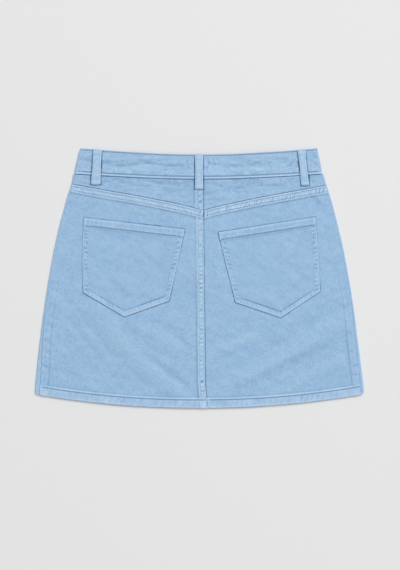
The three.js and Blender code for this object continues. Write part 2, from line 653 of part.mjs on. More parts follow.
// A belt loop on the back, arched clear of the waistband for a belt, its lower end down on the yoke
function backLoop({ side, topX, footX, footY, topWidth, footWidth }) {
  const topY = edge(BACK_WAIST, topX) - LOOP_INSET;
  const seamY = edge(BACK_BAND_SEAM, topX);
  const outer = [];
  const inner = [];
  const near = [LOOP_EDGE, LOOP_TURN];
  for (const { share, offset } of stations(near, LOOP_STEPS, near)) {
    const y = lerp(footY, topY, share) + offset;
    const t = (y - footY) / (topY - footY);
    const toEnd = Math.min(y - footY, topY - y);
    const centre = lerp(footX, topX, t);
    const width = lerp(footWidth, topWidth, t);
    const arch = LOOP_ARCH * Math.sin(Math.PI * t);
    const onBand = bandInner(centre, Math.max(y, seamY)) + BAND;
    const onYoke = yokeOuter(centre, Math.min(y, seamY));
    const base = lerp(onYoke, onBand, smoothstep(y, seamY - LOOP_DROP, seamY)) + LAYER_GAP + arch;
    const folded = lerp(LOOP, LOOP_END, plateau(toEnd, LOOP_TURN - 1, LOOP_TURN));
    const thickness = folded - LOOP_ROUNDING * plateau(toEnd, 0, LOOP_EDGE);
    const line = (height) => LOOP_COLUMNS.map((column) => {
      return new THREE.Vector3(centre + (column - 0.5) * width, y, base + height(column));
    });
    inner.push(line(() => 0));
    outer.push(line((column) => thickness - LOOP_DOME * (2 * column - 1) ** 2));
  }
  return wall(`belt_loop_back_${side}`, outer, inner, PALE_DENIM);
}

// A belt loop on the front, pressed flat between the waistband and the surface
function frontLoop(name, side) {
  const centre = side * FRONT_LOOPS.x;
  const half = FRONT_LOOPS.width / 2;
  const top = edge(FRONT_WAIST, centre) - FRONT_LOOPS.inset;
  const bottom = edge(FRONT_BAND_SEAM, centre) - FRONT_LOOPS.length;
  const shape = new THREE.Shape([
    new THREE.Vector2(centre - half, bottom),
    new THREE.Vector2(centre + half, bottom),
    new THREE.Vector2(centre + half, top),
    new THREE.Vector2(centre - half, top),
  ]);
  const geometry = new THREE.ExtrudeGeometry(shape, { depth: FRONT_LOOP, bevelEnabled: false });
  const mesh = new THREE.Mesh(geometry, PALE_DENIM);
  mesh.name = name;
  return mesh;
}

// The closed zip inside the fly: its tape lies on both front panels, with the chain raised along it
function flyZip() {
  const chainSides = [CHAIN.x - CHAIN.halfWidth, CHAIN.x + CHAIN.halfWidth];
  const xs = [ZIP.left, ZIP.rampFrom, ...chainSides, ZIP.rampTo, ZIP.right].sort((a, b) => a - b);
  const ys = stations([], ZIP_STEPS, []).map(({ share }) => lerp(ZIP.bottom, ZIP.top, share));
  const tapeBottom = (x, y) => {
    const onInner = smoothstep(x, ZIP.rampFrom, ZIP.rampTo) * (CLOTH + LAP_GAP);
    return frontLift(x, y) + CLOTH + LAP_GAP + onInner;
  };
  const outer = ys.map((y) => xs.map((x) => {
    const chain = Math.abs(x - CHAIN.x) <= CHAIN.halfWidth ? CHAIN.height : 0;
    return new THREE.Vector3(x, y, tapeBottom(x, y) + ZIP.tape + chain);
  }));
  const inner = ys.map((y) => xs.map((x) => new THREE.Vector3(x, y, tapeBottom(x, y))));
  return wall("fly_zip", outer, inner, ZIP_TAPE);
}

// The slider parked at the top of the chain, in one piece with its pull tab, which points up
function zipSlider() {
  const { width, length, pullWidth, pullLength, height, corner } = SLIDER;
  const shape = new THREE.Shape();
  shape.moveTo(-width / 2, 0);
  shape.lineTo(width / 2, 0);
  shape.lineTo(width / 2, length - corner);
  shape.lineTo(pullWidth / 2, length);
  shape.lineTo(pullWidth / 2, length + pullLength - corner);
  shape.lineTo(pullWidth / 2 - corner, length + pullLength);
  shape.lineTo(corner - pullWidth / 2, length + pullLength);
  shape.lineTo(-pullWidth / 2, length + pullLength - corner);
  shape.lineTo(-pullWidth / 2, length);
  shape.lineTo(-width / 2, length - corner);
  shape.closePath();
  const geometry = new THREE.ExtrudeGeometry(shape, { depth: height, bevelEnabled: false });
  const mesh = new THREE.Mesh(geometry, STEEL);
  const low = frontLift(CHAIN.x, ZIP.top);
  const high = frontLift(CHAIN.x, ZIP.top + length + pullLength);
  mesh.position.set(CHAIN.x, ZIP.top + LAYER_GAP, low + CLOTH + LAP_GAP);
  mesh.rotation.x = Math.atan2(high - low, length + pullLength);
  mesh.name = "zip_slider";
  return mesh;
}

// The waist button: a dished cap flat on the surface and the stem that holds it through the buttonhole
function waistButton() {
  const { radius, height, stem, dish } = BUTTON;
  const { bevel, inner, dishEdge } = BUTTON_RIM;
  const top = BUTTON_BUMP.height + BAND + LAP_GAP - LAYER_GAP;
  const profile = [
    [0, dish],
    [radius - dishEdge, dish],
    [radius - inner, 0],
    [radius - bevel, 0],
    [radius, bevel],
    [radius, height - bevel],
    [radius - bevel, height],
    [stem, height],
    [stem, top],
    [0, top],
  ].map(([r, z]) => new THREE.Vector2(r, z));
  const geometry = new THREE.LatheGeometry(profile, BUTTON_SIDES);
  geometry.rotateX(Math.PI / 2);
  const mesh = new THREE.Mesh(geometry, STEEL);
  mesh.position.set(BUTTON.x, BUTTON.y, 0);
  mesh.name = "waist_button";
  return mesh;
}

const skirt = new THREE.Group();
skirt.add(...backPanels());
skirt.add(...backYokes());
skirt.add(...POCKETS.map(backPocket));
skirt.add(waistband());
skirt.add(...BACK_LOOPS.map(backLoop));
skirt.add(frontPanel("front_panel_left", -1), frontPanel("front_panel_right", 1));
skirt.add(frontLoop("belt_loop_front_left", -1), frontLoop("belt_loop_front_right", 1));
skirt.add(flyZip(), zipSlider(), waistButton());

export default skirt;
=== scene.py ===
# A denim mini skirt laid flat on its front, seen from straight above. Sizes are in mm until a mesh is made.
# +X is to the right seen from above, +Y towards the waist, and the surface that it lies on is z = 0.

import bpy
import numpy as np
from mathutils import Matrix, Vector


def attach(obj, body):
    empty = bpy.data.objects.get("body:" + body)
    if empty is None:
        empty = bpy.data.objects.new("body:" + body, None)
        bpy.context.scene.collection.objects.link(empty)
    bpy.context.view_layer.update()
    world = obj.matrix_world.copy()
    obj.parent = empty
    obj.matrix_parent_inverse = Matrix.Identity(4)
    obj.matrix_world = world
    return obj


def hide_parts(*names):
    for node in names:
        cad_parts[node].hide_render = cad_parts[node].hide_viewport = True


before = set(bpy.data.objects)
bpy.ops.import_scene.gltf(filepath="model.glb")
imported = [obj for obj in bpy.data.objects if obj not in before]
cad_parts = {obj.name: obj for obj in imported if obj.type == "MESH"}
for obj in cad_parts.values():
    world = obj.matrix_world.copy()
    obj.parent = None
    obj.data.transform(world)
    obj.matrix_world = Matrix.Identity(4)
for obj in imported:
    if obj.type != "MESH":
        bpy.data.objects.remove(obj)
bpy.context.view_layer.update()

MM = 0.001

# Sizes shared with the solids

CLOTH, BAND, LOOP, LOOP_END, FRONT_LOOP = 1.1, 2.0, 1.8, 2.4, 1.6
SEAM_GAP, SIDE_GAP, LAYER_GAP, LAP_GAP, POCKET_GAP = 0.3, 0.08, 0.3, 0.45, 0.45
WAIST_WIDTH = 185
# Waist and hem lines: height at the centre, climb to the side, roundness, half width
BACK_WAIST = (192.2, 9.9, 1.65, WAIST_WIDTH)
BACK_BAND_SEAM = (153.9, 8.0, 1.65, WAIST_WIDTH)
FRONT_WAIST = (178.0, 24.1, 1.9, WAIST_WIDTH)
FRONT_BAND_SEAM = (139.7, 22.2, 1.9, WAIST_WIDTH)
# The hems are rounded by wear, so they lie about 1 mm inside the solids' sharp edges
BACK_HEM = (-201.0, 21.8, 2.1, 255)
FRONT_HEM = (-196.4, 17.1, 2.1, 255)
HEM_CORNER_REACH, HEM_CORNER_RISE = 5, 4

# Columns: y, left side, right side, and how far the front comes round each of them
SIDES = np.array([
    (163, -195.4, 192.4, 2.4, 2.4),
    (149, -197.9, 195.9, 2.4, 2.4),
    (130, -204.2, 202.1, 2.4, 2.4),
    (109, -210.0, 208.2, 2.4, 2.4),
    (81, -217.5, 215.3, 2.4, 2.4),
    (44, -225.7, 223.7, 2.4, 2.4),
    (-3, -234.2, 232.5, 2.4, 2.4),
    (-49, -241.3, 239.8, 2.6, 2.8),
    (-96, -247.4, 245.8, 3.8, 4.2),
    (-142, -252.3, 251.7, 6.5, 4.8),
    (-173, -255.1, 255.1, 7.4, 4.9),
    (-203, -256.4, 256.4, 7.6, 5.0),
])
# Columns: y, left end and right end of the waistband
BAND_SIDES = np.array([(203, -185.2, 182.7), (160, -195.2, 191.5)])
# Columns: y, x
CENTRE_SEAM = np.array([(160, 6.4), (98, 6.5), (-80, 8.4), (-165, 9.5), (-203, 13.6)])
# Columns: x, y
YOKE_SEAM = np.array([
    (-205, 148.3),
    (-160, 139.7),
    (-98, 128.9),
    (-50, 119.3),
    (-24, 113.6),
    (0, 107.5),
    (7, 105.9),
    (12, 107.6),
    (26, 111.4),
    (55, 117.9),
    (97, 126.6),
    (137, 134.0),
    (205, 146.8),
])

CENTRE_STRIP, YOKE_CENTRE_STRIP, YOKE_STRIP = 11.2, 13.3, 12.6
BACK_HEM_FOLD, FRONT_HEM_FOLD, SIDE_RIDGE = 15.2, 15.2, 11.0
STRIP_HEIGHT, BACK_HEM_HEIGHT, FRONT_HEM_HEIGHT, SIDE_RIDGE_HEIGHT = 0.8, 0.9, 0.6, 0.5
SHOULDER, DITCH = 1.4, 0.9
FOLD_RADIUS, WAIST_FOLD_RADIUS, BAND_FOLD_RADIUS, WAIST_EASE = 1.75, 2.125, 2.35, 28

BUTTON_X, BUTTON_Y = 0, 159
BUTTON_LIFT, BUTTON_FLAT, BUTTON_REACH = 2.4, 12, 42
LAP_OUTER_END, LAP_INNER_END, LAP_FLAT, LAP_REACH = 16, -24, 19, 44
FLY_OUTER, FLY_INNER, FLY_FLAT, FLY_REACH = 8, -4, 11, 30
FLY_BOTTOM, FLY_BLEND, FLY_STEP_FROM, FLY_STEP_TO = 15, 20, -28, -7
RISE_X, RISE_HEIGHT, RISE_FLAT, RISE_REACH, RISE_BELOW = -2, 2.8, 30, 62, 46
ZIP_LEFT, ZIP_RIGHT, ZIP_TOP, ZIP_BOTTOM, ZIP_TAPE = -20, 10, 112, 24, 0.8
ZIP_RAMP_FROM, ZIP_RAMP_TO, CHAIN_X = -11, -4.6, -8.6
FRONT_LOOP_X, FRONT_LOOP_WIDTH, FRONT_LOOP_LENGTH = 92, 13, 10
LOOP_LIFT, LOOP_BELOW, LOOP_FLAT = 1.9, 12, 8
FRONT_SLOPE, BACK_SLOPE = (22, 14), (46, 40)
LOOP_ARCH, LOOP_TURN, LOOP_DROP = 1.4, 7, 5

# Columns: node, top x, foot x, foot y, top width, foot width
BACK_LOOPS = [
    ("belt_loop_back_left", -158.1, -160.9, 145.7, 13.3, 15.0),
    ("belt_loop_back_centre", -0.9, -0.6, 138.3, 12.4, 13.0),
    ("belt_loop_back_right", 158.0, 163.8, 144.3, 11.8, 12.4),
]

# Columns: node, how far the left and right sides bow, corners from the top left round by the point
POCKETS = [
    (
        "back_pocket_left",
        (-1.9, 0.6),
        [(-179.3, 94.6), (-180.3, -21.5), (-116.4, -59.2), (-47.3, -34.7), (-23.1, 76.6)],
    ),
    (
        "back_pocket_right",
        (-0.6, 1.2),
        [(29.3, 71.9), (55.9, -36.9), (125.9, -60.5), (187.1, -20.0), (179.5, 95.6)],
    ),
]
POCKET_HEM, POCKET_HEM_HEIGHT, POCKET_TURN, POCKET_TURN_HEIGHT = 13.4, 0.6, 8.5, 0.35

# Folds: three points that each runs through, half width, height
DRAPE = [
    ((-162, -38), (-111, -103), (-22, -182), 26, 1.5),
    ((-226, -22), (-185, -80), (-142, -138), 18, 0.8),
    ((-100, -70), (-53, -92), (-8, -130), 17, 0.6),
    ((222, -60), (143, -111), (24, -172), 26, 1.5),
    ((97, -84), (55, -98), (16, -116), 16, 0.6),
    ((238, -116), (187, -140), (117, -178), 17, 0.6),
    ((-205, -52), (-168, -104), (-134, -146), 14, -0.6),
    ((-92, -112), (-49, -143), (-2, -184), 15, -0.4),
    ((204, -98), (140, -132), (62, -168), 15, -0.5),
    ((164, 136), (182, 120), (200, 98), 14, -0.4),
    ((-200, 118), (-178, 110), (-150, 104), 16, -0.3),
]

# Finer creases and ridges, too shallow for the solids
PANEL_CREASES = [
    ((-213, -52), (-185, -80), (-157, -115), 12, -0.40),
    ((-188, -41), (-139, -103), (-100, -134), 19, 0.35),
    ((-115, -61), (-61, -67), (-12, -92), 11, -0.32),
    ((-92, -111), (-49, -142), (-4, -179), 11, -0.40),
    ((-38, -111), (-22, -115), (-7, -126), 7, -0.28),
    ((-30, -92), (-24, -97), (-18, -103), 6, -0.25),
    ((-240, -134), (-208, -146), (-177, -154), 9, -0.25),
    ((202, -95), (140, -126), (97, -145), 12, -0.36),
    ((110, -140), (63, -165), (19, -170), 10, -0.36),
    ((202, -61), (156, -87), (109, -118), 17, 0.32),
    ((20, -50), (45, -64), (75, -78), 18, -0.3),
    ((9, -95), (14, -96), (21, -95), 5, -0.25),
    ((8, -8), (18, -15), (31, -12), 6, -0.2),
    ((174, 128), (182, 122), (190, 112), 8, -0.35),
    ((-178, 106), (-166, 113), (-154, 117), 7, -0.25),
    ((-12, 96), (-2, 94), (9, 96), 5, -0.4),
    ((-246, -72), (-240, -72), (-231, -74), 5, -0.35),
    ((-248, -95), (-241, -95), (-232, -97), 5, -0.35),
    ((-249, -134), (-243, -134), (-234, -136), 5, -0.35),
    ((-250, -154), (-244, -154), (-236, -155), 4, -0.35),
    ((249, -134), (243, -134), (236, -135), 4, -0.3),
    ((250, -149), (244, -149), (237, -150), 4, -0.3),
]
POCKET_CREASES = [
    ((-150, 72), (-112, 66), (-68, 58), 10, -0.5),
    ((-168, 40), (-140, 30), (-108, 26), 9, 0.35),
    ((-96, 50), (-74, 30), (-52, 16), 9, -0.4),
    ((-160, 6), (-128, -10), (-104, -30), 9, -0.4),
    ((-76, -2), (-92, -20), (-112, -36), 8, 0.4),
    ((60, 66), (100, 70), (150, 78), 10, -0.5),
    ((150, 60), (132, 36), (112, 20), 9, 0.4),
    ((74, 40), (92, 22), (114, 8), 9, -0.35),
    ((170, 8), (146, -12), (122, -34), 9, -0.4),
    ((78, -14), (100, -24), (122, -40), 8, 0.4),
]
YOKE_CREASES = [
    ((-134, 154), (-112, 149), (-78, 143), 6, -0.4),
    ((-100, 156), (-66, 150), (-30, 146), 5, -0.4),
    ((-60, 138), (-44, 137), (-26, 135), 6, -0.35),
    ((-70, 128), (-44, 124), (-16, 121), 6, 0.3),
    ((22, 148), (48, 142), (84, 146), 6, -0.35),
    ((18, 128), (40, 128), (66, 132), 6, 0.3),
    ((92, 147), (112, 145), (138, 149), 5, -0.3),
]
BAND_CREASES = [
    ((-188, 185), (-150, 181), (-112, 183), 5, -0.35),
    ((-150, 176), (-104, 177), (-62, 182), 5, -0.40),
    ((-92, 184), (-50, 176), (-8, 179), 5, -0.45),
    ((-138, 186), (-96, 187), (-52, 187), 4, 0.25),
    ((-120, 170), (-70, 168), (-14, 166), 5, 0.25),
    ((8, 181), (40, 176), (84, 177), 5, -0.42),
    ((62, 184), (100, 179), (150, 183), 5, -0.42),
    ((112, 189), (150, 186), (186, 190), 4, -0.30),
    ((10, 170), (58, 169), (116, 173), 5, 0.25),
    ((12, 188), (14, 180), (11, 168), 3, -0.35),
    ((20, 186), (23, 178), (19, 170), 3, -0.28),
    ((-16, 188), (-19, 179), (-15, 170), 3, -0.28),
    ((148, 187), (142, 178), (134, 172), 4, -0.3),
    ((170, 184), (178, 180), (187, 172), 4, -0.3),
]
FOLD_STEPS, FOLD_FADE = 16, 0.12

# Distances of the stitch rows from the edge of what they hold
YOKE_ROWS, CENTRE_ROWS, YOKE_CENTRE_ROWS = (3.4, 9.8), (1.9, 8.6), (1.9, 8.6)
HEM_ROW, BAND_TOP_ROW, BAND_SEAM_ROW = 12.9, 1.7, 4.4
POCKET_ROWS, POCKET_HEM_ROW, POCKET_TOP_ROW, LOOP_ROW = (1.9, 8.3), 12.0, 5.6, 2.2
FLY_STITCH_ROWS, FLY_STITCH_BEND = (34, 40), 26
# Radii of the thread, 0.25 in life, and of the needle holes with the shade round them. They are drawn this
# coarse so that the rows show as they do in the photograph
STITCH_PITCH, STITCH_LENGTH, THREAD, THREAD_FLATNESS = 3.55, 1.9, 0.5, 0.8
CLEAR_HOLE, SLIGHT_HOLE, FAINT_HOLE, NO_HOLE, HOLE_LIFT = 1.15, 0.8, 0.45, 0, 0.1
TACK_PITCH = 0.62
FURROW_HALF, ROW_SHADE_HALF = 0.8, 0.75

# Steps of the fine meshes
GRAIN_CELLS, PLAN_PASSES, LINE_STEPS, SHARP_ANGLE = 61, 12, 120, 0.9
EDGE_STEPS, FIRST_STEP = np.array([0, 0.35, 0.9]), 1.5
ROW_STEPS = (-0.9, -0.4, 0.1, 0.6)
HALF_TURN = np.linspace(0, np.pi, 13)


# Shaping helpers

def lerp(a, b, share):
    return a + (b - a) * share


def smooth(value, low, high):
    t = np.clip((value - low) / (high - low), 0, 1)
    return t * t * (3 - 2 * t)


def plateau(distance, flat, reach):
    return 1 - smooth(np.abs(distance), flat, reach)


def edge(line, x):
    centre, climb, power, width = line
    return centre + climb * np.minimum(np.abs(x) / width, 1) ** power


def along(table, column, at):
    """The value of one column at a place along the first, on a smooth curve through the rows."""
    rows = table[np.argsort(table[:, 0])]
    keys, values = rows[:, 0], rows[:, column]
    last = len(keys) - 1
    i = np.clip(np.searchsorted(keys, at, side="right") - 1, 0, last - 1)

    def slope(a, b):
        return (values[b] - values[a]) / (keys[b] - keys[a])

    def tangent(k):
        return slope(np.maximum(k - 1, 0), np.minimum(k + 1, last))

    span = keys[i + 1] - keys[i]
    t = (at - keys[i]) / span
    lean = slope(i, i + 1)
    bend = (1 - t) * (tangent(i) - lean) - t * (tangent(i + 1) - lean)
    return lerp(values[i], values[i + 1], t) + t * (1 - t) * span * bend


def grain(u, v, seed):
    """Smooth unevenness from -1 to 1 over a unit grid, the same each time for one seed."""
    table = np.random.default_rng(seed).uniform(-1, 1, (GRAIN_CELLS, GRAIN_CELLS))
    u, v = np.broadcast_arrays(u, v)
    i, j = np.floor(u).astype(int), np.floor(v).astype(int)
    s, t = smooth(u - i, 0, 1), smooth(v - j, 0, 1)
    i, j, next_i, next_j = (k % GRAIN_CELLS for k in (i, j, i + 1, j + 1))
    low, high = lerp(table[i, j], table[next_i, j], s), lerp(table[i, next_j], table[next_i, next_j], s)
    return lerp(low, high, t)


def folds(table, x, y):
    """The height that a table of folds adds at each place, each fold fading out at its two ends."""
    total = np.zeros(np.broadcast(x, y).shape)
    x, y = np.broadcast_arrays(x, y)
    for *points, half, height in table:
        start, via, end = np.array(points, float)
        control = 2 * via - (start + end) / 2
        t = np.linspace(0, 1, FOLD_STEPS + 1)[:, None]
        line = (1 - t) ** 2 * start + 2 * t * (1 - t) * control + t ** 2 * end
        low, high = line.min(axis=0) - half, line.max(axis=0) + half
        near = (x > low[0]) & (x < high[0]) & (y > low[1]) & (y < high[1])
        if not near.any():
            continue
        place = np.column_stack([x[near], y[near]])
        nearest = np.full(len(place), float(half))
        share = np.zeros(len(place))
        for k in range(FOLD_STEPS):
            step = line[k + 1] - line[k]
            part = np.clip((place - line[k]) @ step / (step @ step), 0, 1)
            distance = np.linalg.norm(line[k] + part[:, None] * step - place, axis=1)
            closer = distance < nearest
            nearest[closer] = distance[closer]
            share[closer] = (k + part[closer]) / FOLD_STEPS
        fade = np.sin(np.pi * lerp(FOLD_FADE, 1 - FOLD_FADE, share))
        total[near] += height * fade * np.cos(np.pi / 2 * nearest / half) ** 2
    return total


def furrows(distance, rows, depth):
    """The shallow furrow that each row of stitches pulls into the cloth."""
    return -depth * sum(np.exp(-((distance - row) / FURROW_HALF) ** 2) for row in rows)


def puckers(run, across, period, lean, seed):
    """Uneven swells along a sewn seam, from -1 to 1, slanting by lean for each mm across it."""
    shifted = run + lean * across + 0.35 * period * grain(run / (2.3 * period), across / 30, seed)
    strength = 0.6 + 0.4 * grain(run / (1.7 * period), 0, seed + 1)
    swells = strength * np.sin(2 * np.pi * shifted / period)
    return 0.6 * swells + 0.7 * grain(shifted / (0.4 * period), across / 9, seed + 2)


def painted_shade(distance, reach, amount):
    """Painted shade in a seam's ditch or beside a fold, darkest at the edge and fading over the reach."""
    return -amount * np.exp(-(np.maximum(distance, 0) / reach) ** 2)


def wear_and_shade_lines(rows):
    """Lines along seams, painted into the colour: pale lines of wear and painted highlight on folded edges
    and ridges, and dark lines of painted shade in ditches and under rows of stitches. Columns: distance from
    the seam, where on it the line lies, its half width, its amount, which is pale above 0 and painted shade
    below it, and where it shows."""
    total = 0
    for distance, at, half, amount, shown in rows:
        total = total + amount * shown * np.exp(-((distance - at) / half) ** 2)
    return total


def rungs(swells, pale, deep):
    """A seam's swells in the colour: worn pale on their tops, and painted shade in their dips."""
    return pale * np.maximum(swells, 0) + deep * np.minimum(swells, 0)


def uneven(x, y, size, seed, spread=0.4):
    """Patches of one size, which make a mark weaker in one place and stronger in another."""
    return 1 + spread * grain(x / size, y / size, seed)


# Edges of the skirt

def left_side(y):
    return along(SIDES, 1, y)


def right_side(y):
    return along(SIDES, 2, y)


def left_ditch(y):
    return left_side(y) + along(SIDES, 3, y)


def right_ditch(y):
    return right_side(y) - along(SIDES, 4, y)


def centre_seam(y):
    return along(CENTRE_SEAM, 1, y)


def yoke_seam(x):
    return along(YOKE_SEAM, 1, x)


def back_hem(x):
    y = edge(BACK_HEM, x)
    from_side = np.minimum(x - left_side(y), right_side(y) - x)
    return y + HEM_CORNER_RISE * np.maximum(0, 1 - from_side / HEM_CORNER_REACH) ** 2


# Heights, as the solids have them

def lift(x, y, slope):
    """How far the button and the front loops hold the cloth off the surface."""
    reach, fade = slope
    button = BUTTON_LIFT * plateau(np.hypot(x - BUTTON_X, y - BUTTON_Y), BUTTON_FLAT, BUTTON_REACH)
    loop_end = edge(FRONT_BAND_SEAM, FRONT_LOOP_X) - LOOP_BELOW
    above = smooth(y, loop_end - fade, loop_end)
    return np.maximum(button, LOOP_LIFT * above * plateau(np.abs(x) - FRONT_LOOP_X, LOOP_FLAT, reach))


def centre_rise(x, y):
    across = plateau(x - RISE_X, RISE_FLAT, RISE_REACH)
    return RISE_HEIGHT * across * smooth(y, FLY_BOTTOM - RISE_BELOW, FLY_BOTTOM)


def back_inner(x, y):
    seam = edge(BACK_BAND_SEAM, x)
    radius = lerp(FOLD_RADIUS, WAIST_FOLD_RADIUS, smooth(y, seam - WAIST_EASE, seam))
    return 2 * radius - CLOTH + lift(x, y, BACK_SLOPE) + centre_rise(x, y) + folds(DRAPE, x, y)


def band_inner(x, y):
    return 2 * BAND_FOLD_RADIUS - BAND + lift(x, y, BACK_SLOPE) + centre_rise(x, y)


def fold_radius(y):
    seam = sum(BACK_BAND_SEAM[:2])
    return lerp(FOLD_RADIUS, WAIST_FOLD_RADIUS, smooth(y, seam - WAIST_EASE, seam))


def strip(distance, width, height):
    """A raised strip of folded cloth: a ditch at its edge, a flat top and a sloping shoulder."""
    return height * smooth(distance, 0, DITCH) * (1 - smooth(distance, width, width + SHOULDER))


def side_strength(y):
    """The side seams' ridges show from the hips down, and most of all near the hem."""
    return smooth(y, 60, -120)


def side_strip(x, y):
    from_side = np.minimum(x - left_ditch(y), right_ditch(y) - x)
    return side_strength(y) * strip(from_side, SIDE_RIDGE, SIDE_RIDGE_HEIGHT)


def panel_base(x, y):
    relief = np.maximum(
        strip(yoke_seam(x) - y, YOKE_STRIP, STRIP_HEIGHT),
        strip(y - back_hem(x), BACK_HEM_FOLD, BACK_HEM_HEIGHT),
    )
    relief = np.maximum(relief, side_strip(x, y))
    centre = lerp(0.5, 1, smooth(y, -20, -110)) * strip(centre_seam(y) - x, CENTRE_STRIP, STRIP_HEIGHT)
    relief = np.maximum(relief, centre)
    return back_inner(x, y) + CLOTH + relief


def yoke_base(x, y):
    centre = strip(centre_seam(y) - x, YOKE_CENTRE_STRIP, STRIP_HEIGHT)
    return back_inner(x, y) + CLOTH + np.maximum(side_strip(x, y), centre)


# Faces of the cloth, with the puckers and creases that sewing, washing and wear leave in it

def ripples(x, y, seed):
    """The small unevenness of washed cloth laid down by hand."""
    slanted = x + 0.8 * y
    broad = 0.30 * grain(slanted / 40, y / 22, seed) + 0.13 * grain(slanted / 15, y / 9, seed + 1)
    return broad + 0.05 * grain(slanted / 6, y / 4.5, seed + 2)


def panel_drape(x, y):
    return folds(DRAPE, x, y) + 0.75 * folds(PANEL_CREASES, x, y) + ripples(x, y, 50)


def yoke_drape(x, y):
    streaks = 0.17 * grain(x / 16, y / 3.6, 61) + 0.08 * grain(x / 6, y / 2.4, 62)
    return folds(DRAPE, x, y) + 1.2 * folds(YOKE_CREASES, x, y) + streaks + ripples(x, y, 60)


def flecks(run, across, seed, size=2.4):
    """The pale flecks that rubbing leaves on the tops of the puckers beside a seam."""
    return np.maximum(grain(run / size, across / (0.8 * size), seed) - 0.15, 0)


def between(distance, low, high):
    """1 between two distances from an edge, falling to 0 within a millimetre or so outside them."""
    return smooth(distance, low - 1, low + 0.6) * (1 - smooth(distance, high - 0.6, high + 1))


def beyond(distance, start, fade):
    """How far a seam's pull still shows in the cloth past it."""
    return np.where(distance > start, np.exp(-np.maximum(distance - start, 0) / fade), 0)


def side_puckers(x, y):
    from_side = np.minimum(x - left_ditch(y), right_ditch(y) - x)
    pull = between(from_side, 1, SIDE_RIDGE) + 0.4 * beyond(from_side, SIDE_RIDGE + 1, 6)
    return 0.3 * side_strength(y) * pull * puckers(y, from_side, 13, 0.2, 40)


def panel_face(x, y):
    below_yoke, above_hem, centre = yoke_seam(x) - y, y - back_hem(x), centre_seam(y) - x
    yoke_pull = between(below_yoke, 1.6, 11) * (0.36 + 0.2 * smooth(x, -60, 60))
    yoke_pull = yoke_pull + 0.06 * beyond(below_yoke, YOKE_STRIP + 1, 8)
    detail = yoke_pull * puckers(x, below_yoke, 5.8, 0.4 * np.sign(x), 10)
    detail += furrows(below_yoke, YOKE_ROWS, 0.16)
    clear = smooth(below_yoke, YOKE_STRIP, YOKE_STRIP + 3)
    centre_pull = 0.55 * between(centre, 3.2, 7.6) + 0.10 * beyond(centre, CENTRE_STRIP + 1, 7)
    centre_pull = centre_pull + 0.08 * beyond(-centre, 0.5, 6)
    detail += clear * centre_pull * puckers(y, centre, 6.6, 0, 20)
    detail += clear * furrows(centre, CENTRE_ROWS, 0.1)
    hem_pull = 0.34 * between(above_hem, 1, HEM_ROW - 1) + 0.09 * beyond(above_hem, BACK_HEM_FOLD + 1, 7)
    detail += hem_pull * puckers(x, above_hem, 9.2, -0.3, 30)
    detail += furrows(above_hem, (HEM_ROW,), 0.2)
    detail += side_puckers(x, y) * smooth(above_hem, 12, 18)
    detail = detail - 0.4 * np.exp(-((centre + 0.6) / 0.8) ** 2) * (1 - clear)
    return panel_base(x, y) - folds(DRAPE, x, y) + detail + panel_drape(x, y)


def yoke_face(x, y):
    above, below_band, centre = y - yoke_seam(x), edge(BACK_BAND_SEAM, x) - y, centre_seam(y) - x
    detail = 0.12 * beyond(above, 0, 6) * puckers(x, above, 6.2, 0.4 * np.sign(x), 11)
    detail += 0.10 * beyond(below_band, 0, 6) * puckers(x, below_band, 7.0, 0, 12)
    detail += 0.6 * between(centre, 3.0, 8.0) * puckers(y, centre, 7.5, 0, 21)
    detail += furrows(centre, YOKE_CENTRE_ROWS, 0.1) + side_puckers(x, y)
    detail = detail - 0.45 * (1 - smooth(above, 0, 1.3)) - 0.5 * (1 - smooth(below_band, 0, 1.6))
    return yoke_base(x, y) - folds(DRAPE, x, y) + detail + yoke_drape(x, y)


def band_waves(x, y):
    waves = 0.30 * grain(x / 30, y / 6, 72) + 0.14 * grain(x / 9, y / 4, 73)
    waves += 0.07 * grain(x / 4, y / 2.4, 74)
    return waves * between(edge(BACK_WAIST, x) - y, 4, 34) + folds(BAND_CREASES, x, y)


def band_face(x, y):
    below_top, above_seam = edge(BACK_WAIST, x) - y, y - edge(BACK_BAND_SEAM, x)
    detail = furrows(below_top, (BAND_TOP_ROW,), 0.18) + furrows(above_seam, (BAND_SEAM_ROW,), 0.18)
    detail += 0.12 * beyond(below_top, 0.5, 4) * puckers(x, below_top, 6.6, 0.3, 70)
    detail += 0.16 * beyond(above_seam, 0.5, 4.5) * puckers(x, above_seam, 6.6, -0.3, 71)
    detail = detail - 0.7 * (1 - smooth(below_top, 0, 1.1)) - 0.6 * (1 - smooth(above_seam, 0, 1.1))
    return band_inner(x, y) + BAND + detail + band_waves(x, y)


# Meshes

def close_to_edge(width, step, rows=()):
    """Distances in from an edge, closest at the edge itself and across each row of stitches."""
    plain = np.concatenate([EDGE_STEPS, np.arange(FIRST_STEP, width, step)])
    marks = np.array([row + across for row in rows for across in ROW_STEPS])
    kept = [at for at in plain if at == 0 or not len(marks) or np.abs(marks - at).min() > 0.4]
    return np.sort(np.concatenate([kept, marks]))


def edge_to_edge(length, steps):
    """Distances along a strip, closest at its two ends."""
    middle = np.linspace(FIRST_STEP, length - FIRST_STEP, steps)
    return np.concatenate([EDGE_STEPS, middle, length - EDGE_STEPS[::-1]])


def stations(near, steps, far):
    """Places across a piece, as a share of its width and a distance added to that."""
    middle = np.arange(1, steps) / steps
    share = np.concatenate([np.zeros(len(near)), middle, np.ones(len(far))])
    offset = np.concatenate([near, near[-1] - middle * (near[-1] + far[-1]), -far[::-1]])
    return share, offset


def plan(left, right, bottom, top, columns, rows):
    """The places of a grid of points between four edges."""
    share_x, offset_x = (values[None, :] for values in columns)
    share_y, offset_y = (values[:, None] for values in rows)
    x = lerp(left(0.0), right(0.0), share_x) + 0 * share_y
    for _ in range(PLAN_PASSES):
        y = lerp(bottom(x), top(x), share_y) + offset_y
        x = lerp(left(y), right(y), share_x) + offset_x
    return x, y


